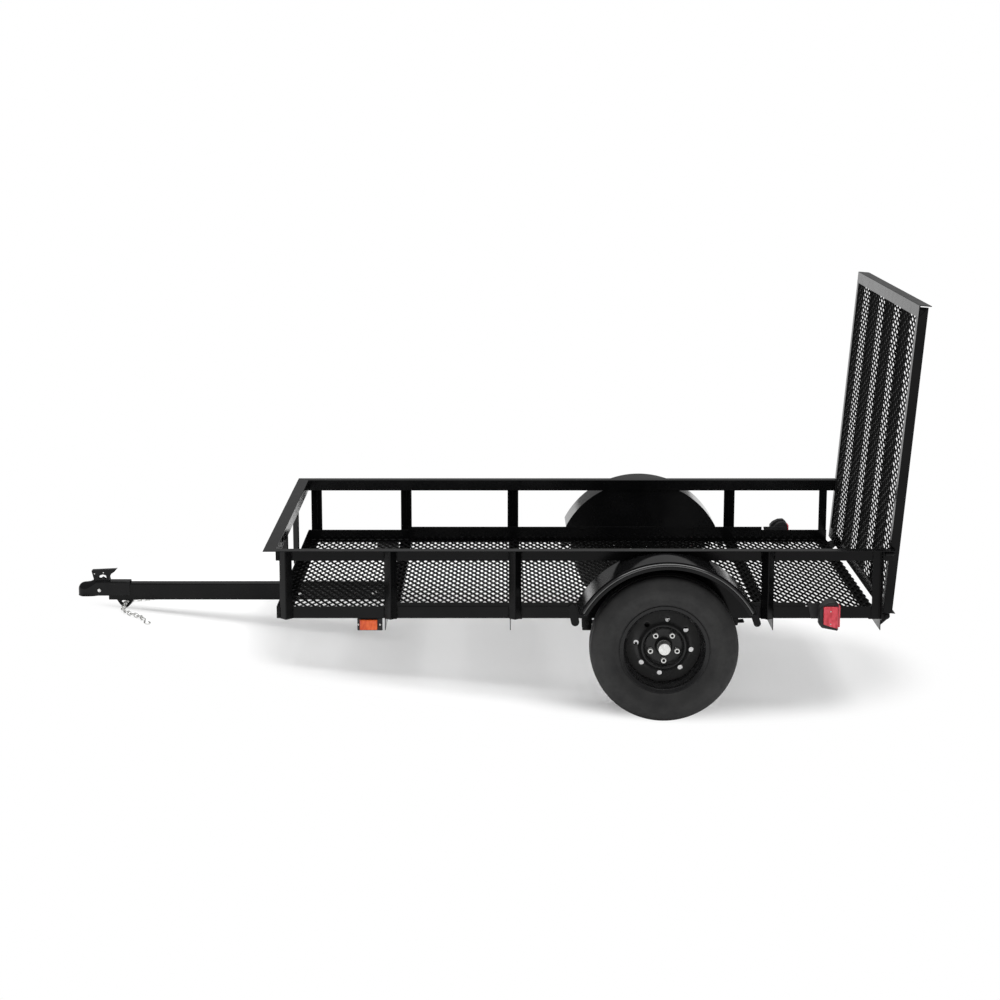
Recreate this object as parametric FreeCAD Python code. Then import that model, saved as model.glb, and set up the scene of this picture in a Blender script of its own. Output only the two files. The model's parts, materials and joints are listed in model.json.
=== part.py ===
import FreeCAD, Part
import math
import os

# Utility trailer, 5 ft x 8 ft bed, single axle, with a tall rear ramp gate.
# Everything is laid out level, as the trailer rides behind a vehicle: X runs to the rear,
# Z up, Y across. The load presses the tyres a little flat, so the road lies at 3 mm. At the
# end the whole trailer is tipped about its axle until the chain loop under the tongue rests
# on the floor, as it parks with no jack.
# "right" is +Y and "left" is -Y, as seen by someone behind the trailer looking forward.

# Rolled steel angle
LEG = 50.8
STEEL = 3.2
POST_LEG = 38.1

# Bed frame
BED_HALF = 769.0
DECK_Z = 386.7
TOP_Z = 680.5
FRONT_X = -917.4
REAR_X = 1570.0
TOP_RAIL_END_X = 1619.0
CROSS_X = {"front": -475.0, "middle": 41.0, "rear": 1127.0}
POST_X = (-880.0, -450.0, 62.0, 1100.0)
CORNER_POST_X = 1568.6
FRONT_POST_Y = 255.0
MESH_THICK = 3.2
MESH_OPEN = 0.84
FLOOR_MESH_GRID = (14, 12)
GATE_MESH_GRID = (10, 12)
STRIP_X = (-440.0, 1258.0)
STRIP_TOP_Z = 453.0

# Axle, springs and wheels
AXLE_X = 665.4
AXLE_Z = 306.0
TYRE_R = 303.0
TYRE_W = 178.0
TYRE_FLATS = 48
WHEEL_Y = 908.0
AXLE_R = 30.0
SPINDLE_R = 14.5
SPINDLE_END_Y = 886.0
HUB_BORE_R = 15.5
LUG_CIRCLE_R = 57.15
STUD_R = 6.0
SPRING_Y = 741.0
SPRING_W = 44.5
SPRING_FRONT = 307.0
SPRING_BACK = 342.0
LEAF = 6.5
SPRING_SEAT_Z = 340.0
SPRING_RISE = 12.0
SPRING_BOW = 325.0
# Middle, half length and depth below the rail of each spring hanger
HANGERS = ((358.4, 21.0, 51.0), (966.0, 17.0, 30.0))

# Fenders
FENDER_X = 676.0
FENDER_Z = 268.0
FENDER_R = 405.0
FENDER_SHEET = 2.0
FENDER_OUT_Y = 1000.0
FENDER_END_Z = 455.0
FENDER_SKIRT_Z = 390.0
# Strap feet of the fender at the rail: top and bottom middle, as (x, z), and half width
FENDER_FEET = (((298.0, 430.0), (310.0, 371.0), 17.0), ((1040.0, 428.0), (1061.0, 366.0), 15.0))
FOOT_THICK = 5.0
LAMP_END_X = 1383.0

# Tongue and coupler
TONGUE_W = 50.8
TONGUE_TOP_Z = 359.7
TONGUE_H = 76.2
TONGUE_FRONT_X = -1747.0
BALL_X = -1853.0
BALL_Z = 330.0
BALL_R = 25.65
COUPLER_LOW_Z = 303.0
COUPLER_TOP_Z = 368.0
COUPLER_HALF = 30.0
LOOP_X = -1677.0
LOOP_LOW_Z = 243.0
LOOP_NOSE_R = 8.0
EYE_ABOVE_NOSE = 23.0

# Safety chains, as they lie on the floor: size of a link, and the turn of each in degrees
LINK_INSIDE = (23.0, 12.8)
LINK_BAR = 4.4
LINK_PITCH = 21.2
LINK_HEIGHTS = (20.5, 17.2, 14.4, 12.6, 11.7)
LINK_LIE = 11.2
HOOK_DIP = 7.0
CHAIN_TURNS = {
    1: (0, 0, 4, 9, 12, 9, 12, 9, -4, -9, -12, -9),
    -1: (0, 0, 2, 9, 12, 9, 12, 9, 6, -9, -12, -9),
}

# Ramp gate, drawn upright from its front lower edge and then leaned to the rear
GATE_X = 1579.6
GATE_Z = 408.0
GATE_LEAN = 4.7
GATE_H = 1275.0
GATE_HALF = 760.0
GATE_BAR_Y = (-380.0, 0.0, 380.0)
HINGE_IN = 23.0
HINGE_DROP = 20.0
HINGE_Y = 710.0
PIN_R = 8.0
KNUCKLE_R = 14.0

PARKED_ROAD_Z = AXLE_Z - TYRE_R

V = FreeCAD.Vector
ACROSS = V(0, 1, 0)


def block(x0, x1, y0, y1, z0, z1):
    """Box between two corners."""
    return Part.makeBox(x1 - x0, y1 - y0, z1 - z0, V(x0, y0, z0))


def outline(points, sweep):
    """Closed outline of points, pushed along the sweep vector."""
    wire = Part.makePolygon(points + [points[0]])
    return Part.Face(wire).extrude(sweep)


def prism_xz(points, y0, y1):
    """Outline drawn from the side, as (x, z), from y0 to y1."""
    return outline([V(x, y0, z) for x, z in points], V(0, y1 - y0, 0))


def prism_yz(points, x0, x1):
    """Outline drawn from the end, as (y, z), from x0 to x1."""
    return outline([V(x0, y, z) for y, z in points], V(x1 - x0, 0, 0))


def prism_xy(points, z0, z1):
    """Outline drawn from above, as (x, y), from z0 to z1."""
    return outline([V(x, y, z0) for x, y in points], V(0, 0, z1 - z0))


def rod(start, end, radius):
    """Round bar between two points."""
    run = end - start
    return Part.makeCylinder(radius, run.Length, start, run)


def join(solids):
    """One solid out of pieces that touch or overlap."""
    whole = solids[0]
    for piece in solids[1:]:
        whole = whole.fuse(piece)
    return whole.removeSplitter()


def turned(profile, x, z):
    """Ring turned about the wheel axis at x, z. The profile is (radius, y) points."""
    points = [V(x, y, z + r) for r, y in profile]
    face = Part.Face(Part.makePolygon(points + [points[0]]))
    return face.revolve(V(x, 0, z), ACROSS, 360)


def mirrored(shape):
    """The same piece on the other side of the centre line."""
    return shape.mirror(V(0, 0, 0), ACROSS)


def arc_face(radius, low_z, x, z):
    """Segment of a disc about x, z, cut off straight at low_z, at y = 0."""
    lift = math.asin((low_z - z) / radius)
    half = radius * math.cos(lift)
    left, top, right = V(x - half, 0, low_z), V(x, 0, z + radius), V(x + half, 0, low_z)
    edges = [Part.Arc(left, top, right).toShape(), Part.LineSegment(right, left).toShape()]
    return Part.Face(Part.Wire(edges))


def bottom_rail():
    """Side rail under the bed: leg up on the outside, leg in underneath."""
    inner = BED_HALF - STEEL
    return join([
        block(FRONT_X - STEEL, REAR_X, inner, BED_HALF, DECK_Z, DECK_Z + LEG),
        block(FRONT_X - STEEL, REAR_X, BED_HALF - LEG, inner, DECK_Z, DECK_Z + STEEL),
    ])


def front_sill():
    """Front rail of the bed, set between the two side rails."""
    reach = BED_HALF - STEEL
    lower = BED_HALF - LEG
    face = FRONT_X - STEEL
    return join([
        block(face, FRONT_X, -reach, reach, DECK_Z + STEEL, DECK_Z + LEG),
        block(face, face + LEG, -lower, lower, DECK_Z, DECK_Z + STEEL),
    ])


def cross_angle(x, way):
    """Angle under the rails: leg down at x, leg along X on top, to the rear or the front."""
    down = sorted((x, x + way * STEEL))
    flat = sorted((x + way * STEEL, x + way * LEG))
    return join([
        block(down[0], down[1], -BED_HALF, BED_HALF, DECK_Z - LEG, DECK_Z),
        block(flat[0], flat[1], -BED_HALF, BED_HALF, DECK_Z - STEEL, DECK_Z),
    ])


def cross_members():
    ways = {"front": 1, "middle": 1, "rear": -1}
    return Part.makeCompound([cross_angle(CROSS_X[k], ways[k]) for k in ways])


def top_side_rail():
    """Top rail along the side, mitred at the front: leg out on top, leg down inside."""
    inner = BED_HALF - STEEL
    edge = inner + LEG
    flat = prism_xy([(FRONT_X, inner), (FRONT_X - LEG, edge),
                     (TOP_RAIL_END_X - 6, edge), (TOP_RAIL_END_X, edge - 6),
                     (TOP_RAIL_END_X, inner)], TOP_Z - STEEL, TOP_Z)
    down = block(FRONT_X - STEEL, TOP_RAIL_END_X, inner, BED_HALF, TOP_Z - LEG,
                 TOP_Z - STEEL)
    return join([flat, down])


def top_front_rail():
    """Top rail across the front, mitred at both ends."""
    inner = BED_HALF - STEEL
    edge = inner + LEG
    nose = FRONT_X - LEG
    flat = prism_xy([(FRONT_X, -inner), (FRONT_X, inner), (nose, edge), (nose, -edge)],
                    TOP_Z - STEEL, TOP_Z)
    down = block(FRONT_X - STEEL, FRONT_X, -inner, inner, TOP_Z - LEG, TOP_Z - STEEL)
    return join([flat, down])


def vee(centre, face, z0, z1, out, along_y=False):
    """Angle post set heel out, both toes trimmed flat against the rails."""
    half = POST_LEG / math.sqrt(2)
    wall = STEEL * math.sqrt(2)
    shape = [(-half, 0), (0, half), (half, 0), (half - wall, 0), (0, half - wall),
             (wall - half, 0)]
    if along_y:
        points = [(face + out * b, centre + a) for a, b in shape]
    else:
        points = [(centre + a, face + out * b) for a, b in shape]
    return prism_xy(points, z0, z1)


def side_posts():
    """Four posts set heel out and a flat corner post at the rear."""
    top = TOP_Z - STEEL
    posts = [vee(x, BED_HALF, DECK_Z, top, 1) for x in POST_X]
    rear = CORNER_POST_X
    posts.append(join([
        block(rear - POST_LEG, rear, BED_HALF, BED_HALF + STEEL, DECK_Z, top),
        block(rear - STEEL, rear, BED_HALF + STEEL, BED_HALF + POST_LEG, DECK_Z, top),
    ]))
    return Part.makeCompound(posts)


def front_posts():
    """Two posts between the front sill and the front top rail."""
    return Part.makeCompound([
        vee(y, FRONT_X - STEEL, DECK_Z, TOP_Z - STEEL, -1, along_y=True)
        for y in (-FRONT_POST_Y, FRONT_POST_Y)
    ])


def diamond_mesh(corner, along, over, thick, grid):
    """Expanded sheet with wide diamonds in staggered rows, inside a solid rim.

    It starts at one corner, runs along and over by two vectors, and is as thick as a third.
    """
    rows, columns = grid
    step, side = along / (2 * rows), over / (2 * columns)
    wires = [Part.makePolygon([corner, corner + along, corner + along + over, corner + over,
                               corner])]
    for row in range(1, 2 * rows):
        first = 1 + (row + 1) % 2
        for column in range(first, 2 * columns, 2):
            middle = corner + step * row + side * column
            ends = (step, side, -step, -side)
            points = [middle + end * MESH_OPEN for end in ends]
            wires.append(Part.makePolygon(points + points[:1]))
    sheet = Part.makeFace(Part.makeCompound(wires), "Part::FaceMakerBullseye")
    return sheet.extrude(thick)


def floor_mesh():
    reach = BED_HALF - STEEL
    return diamond_mesh(V(FRONT_X, -reach, DECK_Z + STEEL), V(REAR_X - FRONT_X, 0, 0),
                        V(0, 2 * reach, 0), V(0, 0, MESH_THICK), FLOOR_MESH_GRID)


def inner_strip():
    """Flat bar standing inside the side rail, over the edge of the mesh."""
    face = BED_HALF - STEEL
    low = DECK_Z + STEEL + MESH_THICK
    return block(STRIP_X[0], STRIP_X[1], face - STEEL, face, low, STRIP_TOP_Z)


def tongue_tube():
    half = TONGUE_W / 2
    low = TONGUE_TOP_Z - TONGUE_H
    outer = block(TONGUE_FRONT_X, CROSS_X["front"], -half, half, low, TONGUE_TOP_Z)
    bore = block(TONGUE_FRONT_X - 1, CROSS_X["front"] + 1, STEEL - half, half - STEEL,
                 low + STEEL, TONGUE_TOP_Z - STEEL)
    return outer.cut(bore)


def tongue_brackets():
    """Saddle under the front sill and two cheeks at the first cross member."""
    half = TONGUE_W / 2
    cheek = 4.0
    saddle_x = (-938.0, -884.0)
    cheek_x = (-604.0, CROSS_X["front"])
    low = 296.0
    top = DECK_Z
    saddle = join([
        block(saddle_x[0], saddle_x[1], half, half + cheek, low, top),
        block(saddle_x[0], saddle_x[1], -half - cheek, -half, low, top),
        block(saddle_x[0], saddle_x[1], -half, half, TONGUE_TOP_Z, top),
    ])
    cheeks = [block(cheek_x[0], cheek_x[1], y, y + cheek, low, TONGUE_TOP_Z - 8)
              for y in (half, -half - cheek)]
    return Part.makeCompound([saddle] + cheeks)


def coupler():
    """Pressed coupler: dome over the ball, channel over the front of the tongue."""
    wall = BALL_R + 6.4
    rear_x = -1652.0
    rim = 4.0
    outer = join([
        block(BALL_X, rear_x, -COUPLER_HALF, COUPLER_HALF, COUPLER_LOW_Z, COUPLER_TOP_Z),
        Part.makeCylinder(wall, BALL_Z - COUPLER_LOW_Z, V(BALL_X, 0, COUPLER_LOW_Z)),
        Part.makeCylinder(wall + rim, rim, V(BALL_X, 0, COUPLER_LOW_Z)),
        Part.makeSphere(wall, V(BALL_X, 0, BALL_Z)),
    ])
    low = COUPLER_LOW_Z - 1
    half = TONGUE_W / 2
    socket = join([
        Part.makeCylinder(BALL_R, BALL_Z - low, V(BALL_X, 0, low)),
        Part.makeSphere(BALL_R, V(BALL_X, 0, BALL_Z)),
    ])
    channel = block(BALL_X + wall + 8, rear_x + 1, -half, half, low, TONGUE_TOP_Z)
    below = block(BALL_X - 60, rear_x, -60, 60, COUPLER_LOW_Z - 60, COUPLER_LOW_Z)
    return outer.cut(socket).cut(channel).cut(below)


def coupler_latch():
    """Folded lever on top of the coupler, with a finger opening."""
    half = 13.0
    plate = prism_xz([(-1823, 414), (-1716, 420), (-1708, 424), (-1722, 408), (-1738, 398),
                      (-1744, 384), (-1741, COUPLER_TOP_Z), (-1812, COUPLER_TOP_Z)],
                     -half, half)
    opening = prism_xz([(-1797, 378), (-1788, 396), (-1770, 402), (-1756, 396), (-1751, 380),
                        (-1765, 376), (-1774, 386), (-1784, 376)], -half - 1, half + 1)
    return plate.cut(opening)


def chain_loop():
    """Pointed loop of flat bar under the tongue, which carries the safety chains."""
    low = TONGUE_TOP_Z - TONGUE_H
    half = 6.0
    spread = 40.0
    nose = V(LOOP_X, -half, LOOP_LOW_Z + LOOP_NOSE_R)
    plate = prism_xz([(LOOP_X - spread, low), (LOOP_X + spread, low),
                      (LOOP_X + 7, LOOP_LOW_Z + 4), (LOOP_X - 7, LOOP_LOW_Z + 4)], -half, half)
    tip = Part.makeCylinder(LOOP_NOSE_R, 2 * half, nose, ACROSS)
    eye = prism_xz([(LOOP_X - 23, low - 8), (LOOP_X + 23, low - 8), (LOOP_X + 5, LOOP_LOW_Z + 12),
                    (LOOP_X - 5, LOOP_LOW_Z + 12)], -half - 1, half + 1)
    return join([plate, tip]).cut(eye)


def chain_link():
    """Flat eight-sided link about the origin, its length along X."""
    def ring(length, width, corner):
        x, y = length / 2, width / 2
        points = [(x, corner - y), (x, y - corner), (x - corner, y), (corner - x, y),
                  (-x, y - corner), (-x, corner - y), (corner - x, -y), (x - corner, -y)]
        return prism_xy(points, -LINK_BAR / 2, LINK_BAR / 2)

    length, width = LINK_INSIDE
    full = ring(length + 2 * LINK_BAR, width + 2 * LINK_BAR, 6.0)
    return full.cut(ring(length, width, 3.0))


def chain_hook():
    """Flat hook in line with the chain's last link, which is joined to its shank."""
    shape = prism_xy([(12, -7), (26, -9), (40, -16), (54, -10), (58, 4), (52, 16), (38, 20),
                      (26, 14), (31, 8), (40, 11), (47, 6), (48, 0), (43, -5), (38, -4),
                      (30, 3), (12, 7)], -3, 3)
    return join([shape, chain_link()])


def safety_chains():
    """Both halves of the chain through the loop's eye, let down to the floor and laid in a
    bend, each link turned a quarter from the last. It is drawn in the parked place."""
    axis = V(AXLE_X, 0, AXLE_Z)
    eye = V(LOOP_X, 0, LOOP_LOW_Z + EYE_ABOVE_NOSE)
    start = axis + FreeCAD.Rotation(ACROSS, -tilt).multVec(eye - axis)
    links = [chain_link()]
    links[0].Placement = FreeCAD.Placement(start, FreeCAD.Rotation(90, 0, 0))
    for side, turns in CHAIN_TURNS.items():
        place = V(start)
        heading = 90.0 * side
        for count, turn in enumerate(turns):
            heading -= side * turn
            low, after = (LINK_HEIGHTS + (LINK_LIE,) * len(turns))[count:count + 2]
            fall = place.z - PARKED_ROAD_Z - low
            level = math.sqrt(LINK_PITCH ** 2 - fall ** 2)
            way = math.radians(heading)
            pitch = math.degrees(math.asin((fall + low - after) / 2 / LINK_PITCH))
            place = V(place.x + level * math.cos(way), place.y + level * math.sin(way),
                      PARKED_ROAD_Z + low)
            if count == len(turns) - 1:
                shape, pitch = chain_hook(), HOOK_DIP
            else:
                shape = chain_link()
            turned_so = FreeCAD.Rotation(heading, pitch, 90 * ((count + 1) % 2))
            shape.Placement = FreeCAD.Placement(place, turned_so)
            links.append(shape)
    return Part.makeCompound(links)


def axle():
    """Round beam with a spindle at each end, and the seats for the springs."""
    beam_end = 800.0
    beam = rod(V(AXLE_X, -beam_end, AXLE_Z), V(AXLE_X, beam_end, AXLE_Z), AXLE_R)
    spindle = rod(V(AXLE_X, -SPINDLE_END_Y, AXLE_Z), V(AXLE_X, SPINDLE_END_Y, AXLE_Z),
                  SPINDLE_R)
    seats = [block(AXLE_X - 42, AXLE_X + 42, y - SPRING_W / 2, y + SPRING_W / 2,
                   AXLE_Z + 20, SPRING_SEAT_Z) for y in (-SPRING_Y, SPRING_Y)]
    return join([beam, spindle] + seats)


def spring():
    """Three leaves, each a shallow bow, the longest on top with an eye at its front."""
    y0, y1 = SPRING_Y - SPRING_W / 2, SPRING_Y + SPRING_W / 2
    steps = 12

    def bow(x):
        return SPRING_SEAT_Z + SPRING_RISE * ((x - AXLE_X) / SPRING_BOW) ** 2

    leaves = []
    for level, share in enumerate((0.66, 0.83, 1.0)):
        start = AXLE_X - share * SPRING_FRONT
        pitch = share * (SPRING_FRONT + SPRING_BACK) / steps
        xs = [start + pitch * i for i in range(steps + 1)]
        low = level * LEAF
        under = [(x, bow(x) + low) for x in xs]
        over = [(x, bow(x) + low + LEAF) for x in reversed(xs)]
        leaves.append(prism_xz(under + over, y0, y1))
    front = V(AXLE_X - SPRING_FRONT, y0, bow(AXLE_X - SPRING_FRONT) + 2.5 * LEAF)
    eye = Part.makeCylinder(13.0, SPRING_W, front, ACROSS)
    hole = Part.makeCylinder(7.0, SPRING_W, front, ACROSS)
    return join(leaves + [eye]).cut(hole)


def hangers():
    """Open-bottomed boxes under the side rail that hold the ends of one spring."""
    cheek = 4.0
    y0, y1 = SPRING_Y - SPRING_W / 2 - 1, SPRING_Y + SPRING_W / 2 + 1
    shapes = []
    for x, half, drop in HANGERS:
        side = [(x - half, DECK_Z), (x + half, DECK_Z), (x + half - 2, DECK_Z - drop),
                (x - half + 2, DECK_Z - drop)]
        shapes.append(join([
            prism_xz(side, y0 - cheek, y0),
            prism_xz(side, y1, y1 + cheek),
            block(x - half, x + half, y0, y1, DECK_Z - cheek, DECK_Z),
        ]))
    return shapes


def axle_clamps():
    """Plate under the axle and two U-bolts over the spring, on one side."""
    low = AXLE_Z - AXLE_R
    radius = 5.0
    high = SPRING_SEAT_Z + 3 * LEAF + radius + 0.6
    reach = SPRING_W / 2 + radius + 0.5
    plate = block(AXLE_X - 48, AXLE_X + 48, SPRING_Y - reach - 8, SPRING_Y + reach + 8,
                  low - 6, low)
    bolts = []
    for x in (AXLE_X - 36, AXLE_X + 36):
        bolts.append(rod(V(x, SPRING_Y - reach, high), V(x, SPRING_Y + reach, high), radius))
        for y in (SPRING_Y - reach, SPRING_Y + reach):
            bolts.append(rod(V(x, y, low - 16), V(x, y, high), radius))
            bolts.append(Part.makeSphere(radius, V(x, y, high)))
    return join([plate] + bolts)


def strap(top, bottom, half, y0, y1):
    """Flat bar between two points of the side view, with both ends round."""
    run = V(bottom[0] - top[0], 0, bottom[1] - top[1])
    beside = run.cross(ACROSS).normalize() * half
    ends = [V(x, y0, z) for x, z in (top, bottom)]
    thick = ACROSS * (y1 - y0)
    bar = outline([ends[0] + beside, ends[1] + beside, ends[1] - beside, ends[0] - beside],
                  thick)
    caps = [Part.makeCylinder(half, y1 - y0, end, ACROSS) for end in ends]
    return join([bar] + caps)


def fender():
    """Round fender: rolled arch, flat plate against the rail, turned-down outer lip, and the
    two strap feet that hold it at the rail."""
    deep = FENDER_OUT_Y - BED_HALF
    arch = arc_face(FENDER_R, FENDER_END_Z, FENDER_X, FENDER_Z).extrude(ACROSS * deep)
    hollow = Part.makeCylinder(FENDER_R - FENDER_SHEET, deep, V(FENDER_X, 0, FENDER_Z), ACROSS)
    arch = arch.cut(hollow)
    plate_r = FENDER_R - FENDER_SHEET / 2
    plate = arc_face(plate_r, FENDER_SKIRT_Z, FENDER_X, FENDER_Z).extrude(ACROSS * FENDER_SHEET)
    lip_w = 3.0
    lip = arc_face(FENDER_R, FENDER_END_Z, FENDER_X, FENDER_Z).extrude(ACROSS * lip_w)
    lip.translate(ACROSS * (deep - lip_w))
    opening = Part.makeCylinder(FENDER_R - 10.0, deep, V(FENDER_X, 0, FENDER_Z), ACROSS)
    lip = lip.cut(opening)
    feet = [strap(top, bottom, half, 0, FOOT_THICK) for top, bottom, half in FENDER_FEET]
    shape = join([arch, plate, lip] + feet)
    shape.translate(ACROSS * BED_HALF)
    return shape


def marker_lamp():
    """Black base of the side marker, hung under the side rail."""
    return join([
        block(-590.0, -486.0, 742.0, 748.0, 330.0, DECK_Z),
        block(-590.0, -486.0, 748.0, 756.0, 332.0, 384.0),
    ])


def marker_lens():
    return block(-579.0, -506.0, 756.0, 772.0, 336.0, 380.0)


def tail_lamp():
    """Bracket plate on the rail and the rounded black lamp body outboard of it."""
    end = LAMP_END_X
    plate = prism_xz([(1266, 452), (end, 452), (end, DECK_Z), (1281, DECK_Z)],
                     BED_HALF, BED_HALF + 4)
    back = prism_xz([(1316, 384), (1324, 370), (end, 360), (end, 460), (1368, 474),
                     (1344, 472), (1328, 462), (1316, 444)], BED_HALF + 4, BED_HALF + 40)
    body = prism_xz([(1304, 380), (1316, 366), (end - 4, 354), (end, 360), (end, 464),
                     (1368, 478), (1342, 476), (1318, 464), (1304, 448)],
                    BED_HALF + 40, BED_HALF + 86)
    return join([plate, back, body])


def tail_lens():
    """Red lens, wrapping the outer side and the rear of the lamp body."""
    y = BED_HALF + 86
    side = prism_xz([(1320, 384), (1379, 366), (1379, 457), (1320, 457)], y, y + 14)
    rear = block(LAMP_END_X, LAMP_END_X + 8, BED_HALF + 14, BED_HALF + 78, 368.0, 456.0)
    return Part.makeCompound([side, rear])


def tyre():
    """Hollow carcass, open to the rim, with bulged sidewalls, as rings of narrow flats."""
    y, half = WHEEL_Y, TYRE_W / 2
    side = [(168.8, 55), (184.6, 61.5), (202, 75), (236, half), (266, 82), (290, 69),
            (TYRE_R - 2, 50)]
    inner = [(168.8, 44), (200, 58), (236, 74), (284, 54)]
    profile = [(r, y - off) for r, off in side] + [(TYRE_R, y)]
    profile += [(r, y + off) for r, off in reversed(side)]
    profile += [(r, y + off) for r, off in inner] + [(r, y - off) for r, off in reversed(inner)]
    rings = []
    for k in range(TYRE_FLATS):
        turn = 2 * math.pi * (k / TYRE_FLATS - 0.25)
        rings.append([V(AXLE_X + r * math.cos(turn), across, AXLE_Z + r * math.sin(turn))
                      for r, across in profile])
    faces = []
    for k, ring in enumerate(rings):
        beyond = rings[(k + 1) % TYRE_FLATS]
        for i, point in enumerate(ring):
            j = (i + 1) % len(ring)
            faces.append(Part.Face(Part.makePolygon([point, ring[j], beyond[j], beyond[i],
                                                     point])))
    return Part.makeSolid(Part.makeShell(faces))


def lug_places():
    """Centres of the five lug nuts, as (x, z)."""
    turns = [math.radians(-90 + 72 * k) for k in range(5)]
    return [(AXLE_X + LUG_CIRCLE_R * math.cos(a), AXLE_Z + LUG_CIRCLE_R * math.sin(a))
            for a in turns]


def rim():
    """Steel wheel: barrel with both flanges, and a dished disc with a raised ring."""
    y = WHEEL_Y
    barrel = turned([(182, y - 66), (182, y - 62.5), (167.8, y - 58), (167.8, y - 40),
                     (156, y - 22), (156, y + 22), (167.8, y + 40), (167.8, y + 58),
                     (182, y + 62.5), (182, y + 66), (164.5, y + 61), (164.5, y + 41),
                     (152.5, y + 23), (152.5, y - 23), (164.5, y - 41), (164.5, y - 61)],
                    AXLE_X, AXLE_Z)
    disc = turned([(34, y), (74, y), (84, y + 14), (92, y + 14), (104, y + 2), (126, y - 6),
                   (154, y - 14), (154, y - 18), (124, y - 10), (102, y - 2), (90, y + 10),
                   (85, y + 10), (76, y - 4), (34, y - 4)], AXLE_X, AXLE_Z)
    holes = []
    for k in range(8):
        a = math.radians(82.4 - 45 * k)
        x, z = AXLE_X + 113 * math.cos(a), AXLE_Z + 113 * math.sin(a)
        holes.append(Part.makeCylinder(10.0, 60, V(x, y - 30, z), ACROSS))
    for x, z in lug_places():
        holes.append(Part.makeCylinder(STUD_R + 0.3, 20, V(x, y - 10, z), ACROSS))
    return join([barrel, disc]).cut(Part.makeCompound(holes))


def hub():
    """Hub with its flange, five lug nuts and grease cap, bored for the spindle."""
    y = WHEEL_Y
    x = AXLE_X
    parts = [turned([(HUB_BORE_R, y - 78), (30, y - 78), (36, y - 60), (36, y - 14),
                     (70, y - 14), (70, y - 4), (30, y - 4), (30, y + 20), (25.5, y + 24),
                     (25.5, y + 57), (0, y + 57), (0, y - 18), (HUB_BORE_R, y - 18)], x, AXLE_Z)]
    for lug_x, lug_z in lug_places():
        parts.append(Part.makeCylinder(STUD_R, 24, V(lug_x, y - 6, lug_z), ACROSS))
        parts.append(Part.makeCylinder(11.0, 18, V(lug_x, y, lug_z), ACROSS))
    return join(parts)


def gate_place(shape):
    """Stand a piece of the gate in its place, leaning to the rear."""
    shape.translate(V(GATE_X, 0, GATE_Z))
    shape.rotate(V(GATE_X, 0, GATE_Z), ACROSS, GATE_LEAN)
    return shape


def gate_stile():
    """Upright at the side: one leg in the face of the gate, one along the side."""
    side = GATE_HALF - STEEL
    return join([
        block(STEEL, POST_LEG, side, GATE_HALF, STEEL, GATE_H - STEEL),
        block(0, STEEL, GATE_HALF - POST_LEG, GATE_HALF, STEEL, GATE_H - LEG),
    ])


def gate_top():
    return join([
        block(0, STEEL, -GATE_HALF, GATE_HALF, GATE_H - LEG, GATE_H),
        block(STEEL, LEG, -GATE_HALF, GATE_HALF, GATE_H - STEEL, GATE_H),
    ])


def gate_bottom():
    inner = GATE_HALF - POST_LEG
    return join([
        block(0, STEEL, -inner, inner, STEEL, LEG),
        block(0, LEG, -GATE_HALF, GATE_HALF, 0, STEEL),
    ])


def gate_bars():
    """Upright stiffeners behind the mesh."""
    front = STEEL + MESH_THICK
    bars = []
    for y in GATE_BAR_Y:
        bars.append(join([
            block(front, front + POST_LEG, y, y + STEEL, STEEL, GATE_H - STEEL),
            block(front, front + STEEL, y + STEEL, y + POST_LEG, STEEL, GATE_H - STEEL),
        ]))
    return Part.makeCompound(bars)


def gate_mesh():
    side = GATE_HALF - STEEL
    return diamond_mesh(V(STEEL, -side, STEEL), V(0, 0, GATE_H - 2 * STEEL),
                        V(0, 2 * side, 0), V(MESH_THICK, 0, 0), GATE_MESH_GRID)


def gate_knuckles():
    """Knuckle and pin of both hinges, under the foot of the gate."""
    width = 22.0
    pair = []
    for y in (-HINGE_Y, HINGE_Y):
        low = y - width / 2
        pair.append(join([
            block(HINGE_IN - KNUCKLE_R, HINGE_IN + KNUCKLE_R, low, low + width, -HINGE_DROP, 0),
            Part.makeCylinder(KNUCKLE_R, width, V(HINGE_IN, low, -HINGE_DROP), ACROSS),
            Part.makeCylinder(PIN_R, width + 28, V(HINGE_IN, low - 14, -HINGE_DROP), ACROSS),
        ]))
    return Part.makeCompound(pair)


def hinge_point():
    """Hinge axis of the gate on the centre line, level."""
    a = math.radians(GATE_LEAN)
    x = GATE_X + HINGE_IN * math.cos(a) - HINGE_DROP * math.sin(a)
    z = GATE_Z - HINGE_IN * math.sin(a) - HINGE_DROP * math.cos(a)
    return V(x, 0, z)


def hinge_lugs():
    """Pairs of lugs on the rear sill that hold the hinge pins."""
    pin = hinge_point()
    thick = 6.0
    gap = 2.0
    lugs = []
    for y in (-HINGE_Y, HINGE_Y):
        for low in (y - 11 - gap - thick, y + 11 + gap):
            web = prism_xz([(REAR_X, DECK_Z), (pin.x, pin.z + KNUCKLE_R - 0.4),
                            (pin.x, pin.z - KNUCKLE_R + 0.4), (REAR_X, DECK_Z - 44)],
                           low, low + thick)
            boss = Part.makeCylinder(KNUCKLE_R, thick, V(pin.x, low, pin.z), ACROSS)
            hole = Part.makeCylinder(PIN_R + 0.5, thick, V(pin.x, low, pin.z), ACROSS)
            lugs.append(join([web, boss]).cut(hole))
    return Part.makeCompound(lugs)


def gate_latch():
    """Spring latch at the rear end of a top rail: barrel, pin and mounting plate."""
    y = BED_HALF + 15
    z = TOP_Z - STEEL - 14
    plate = block(1572.0, 1614.0, BED_HALF, BED_HALF + 5, z - 12, z + 12)
    barrel = rod(V(1576, y, z), V(1610, y, z), 11.0)
    pin = rod(V(1570, y, z), V(1617, y, z), 5.0)
    return join([plate, barrel, pin])


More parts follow.
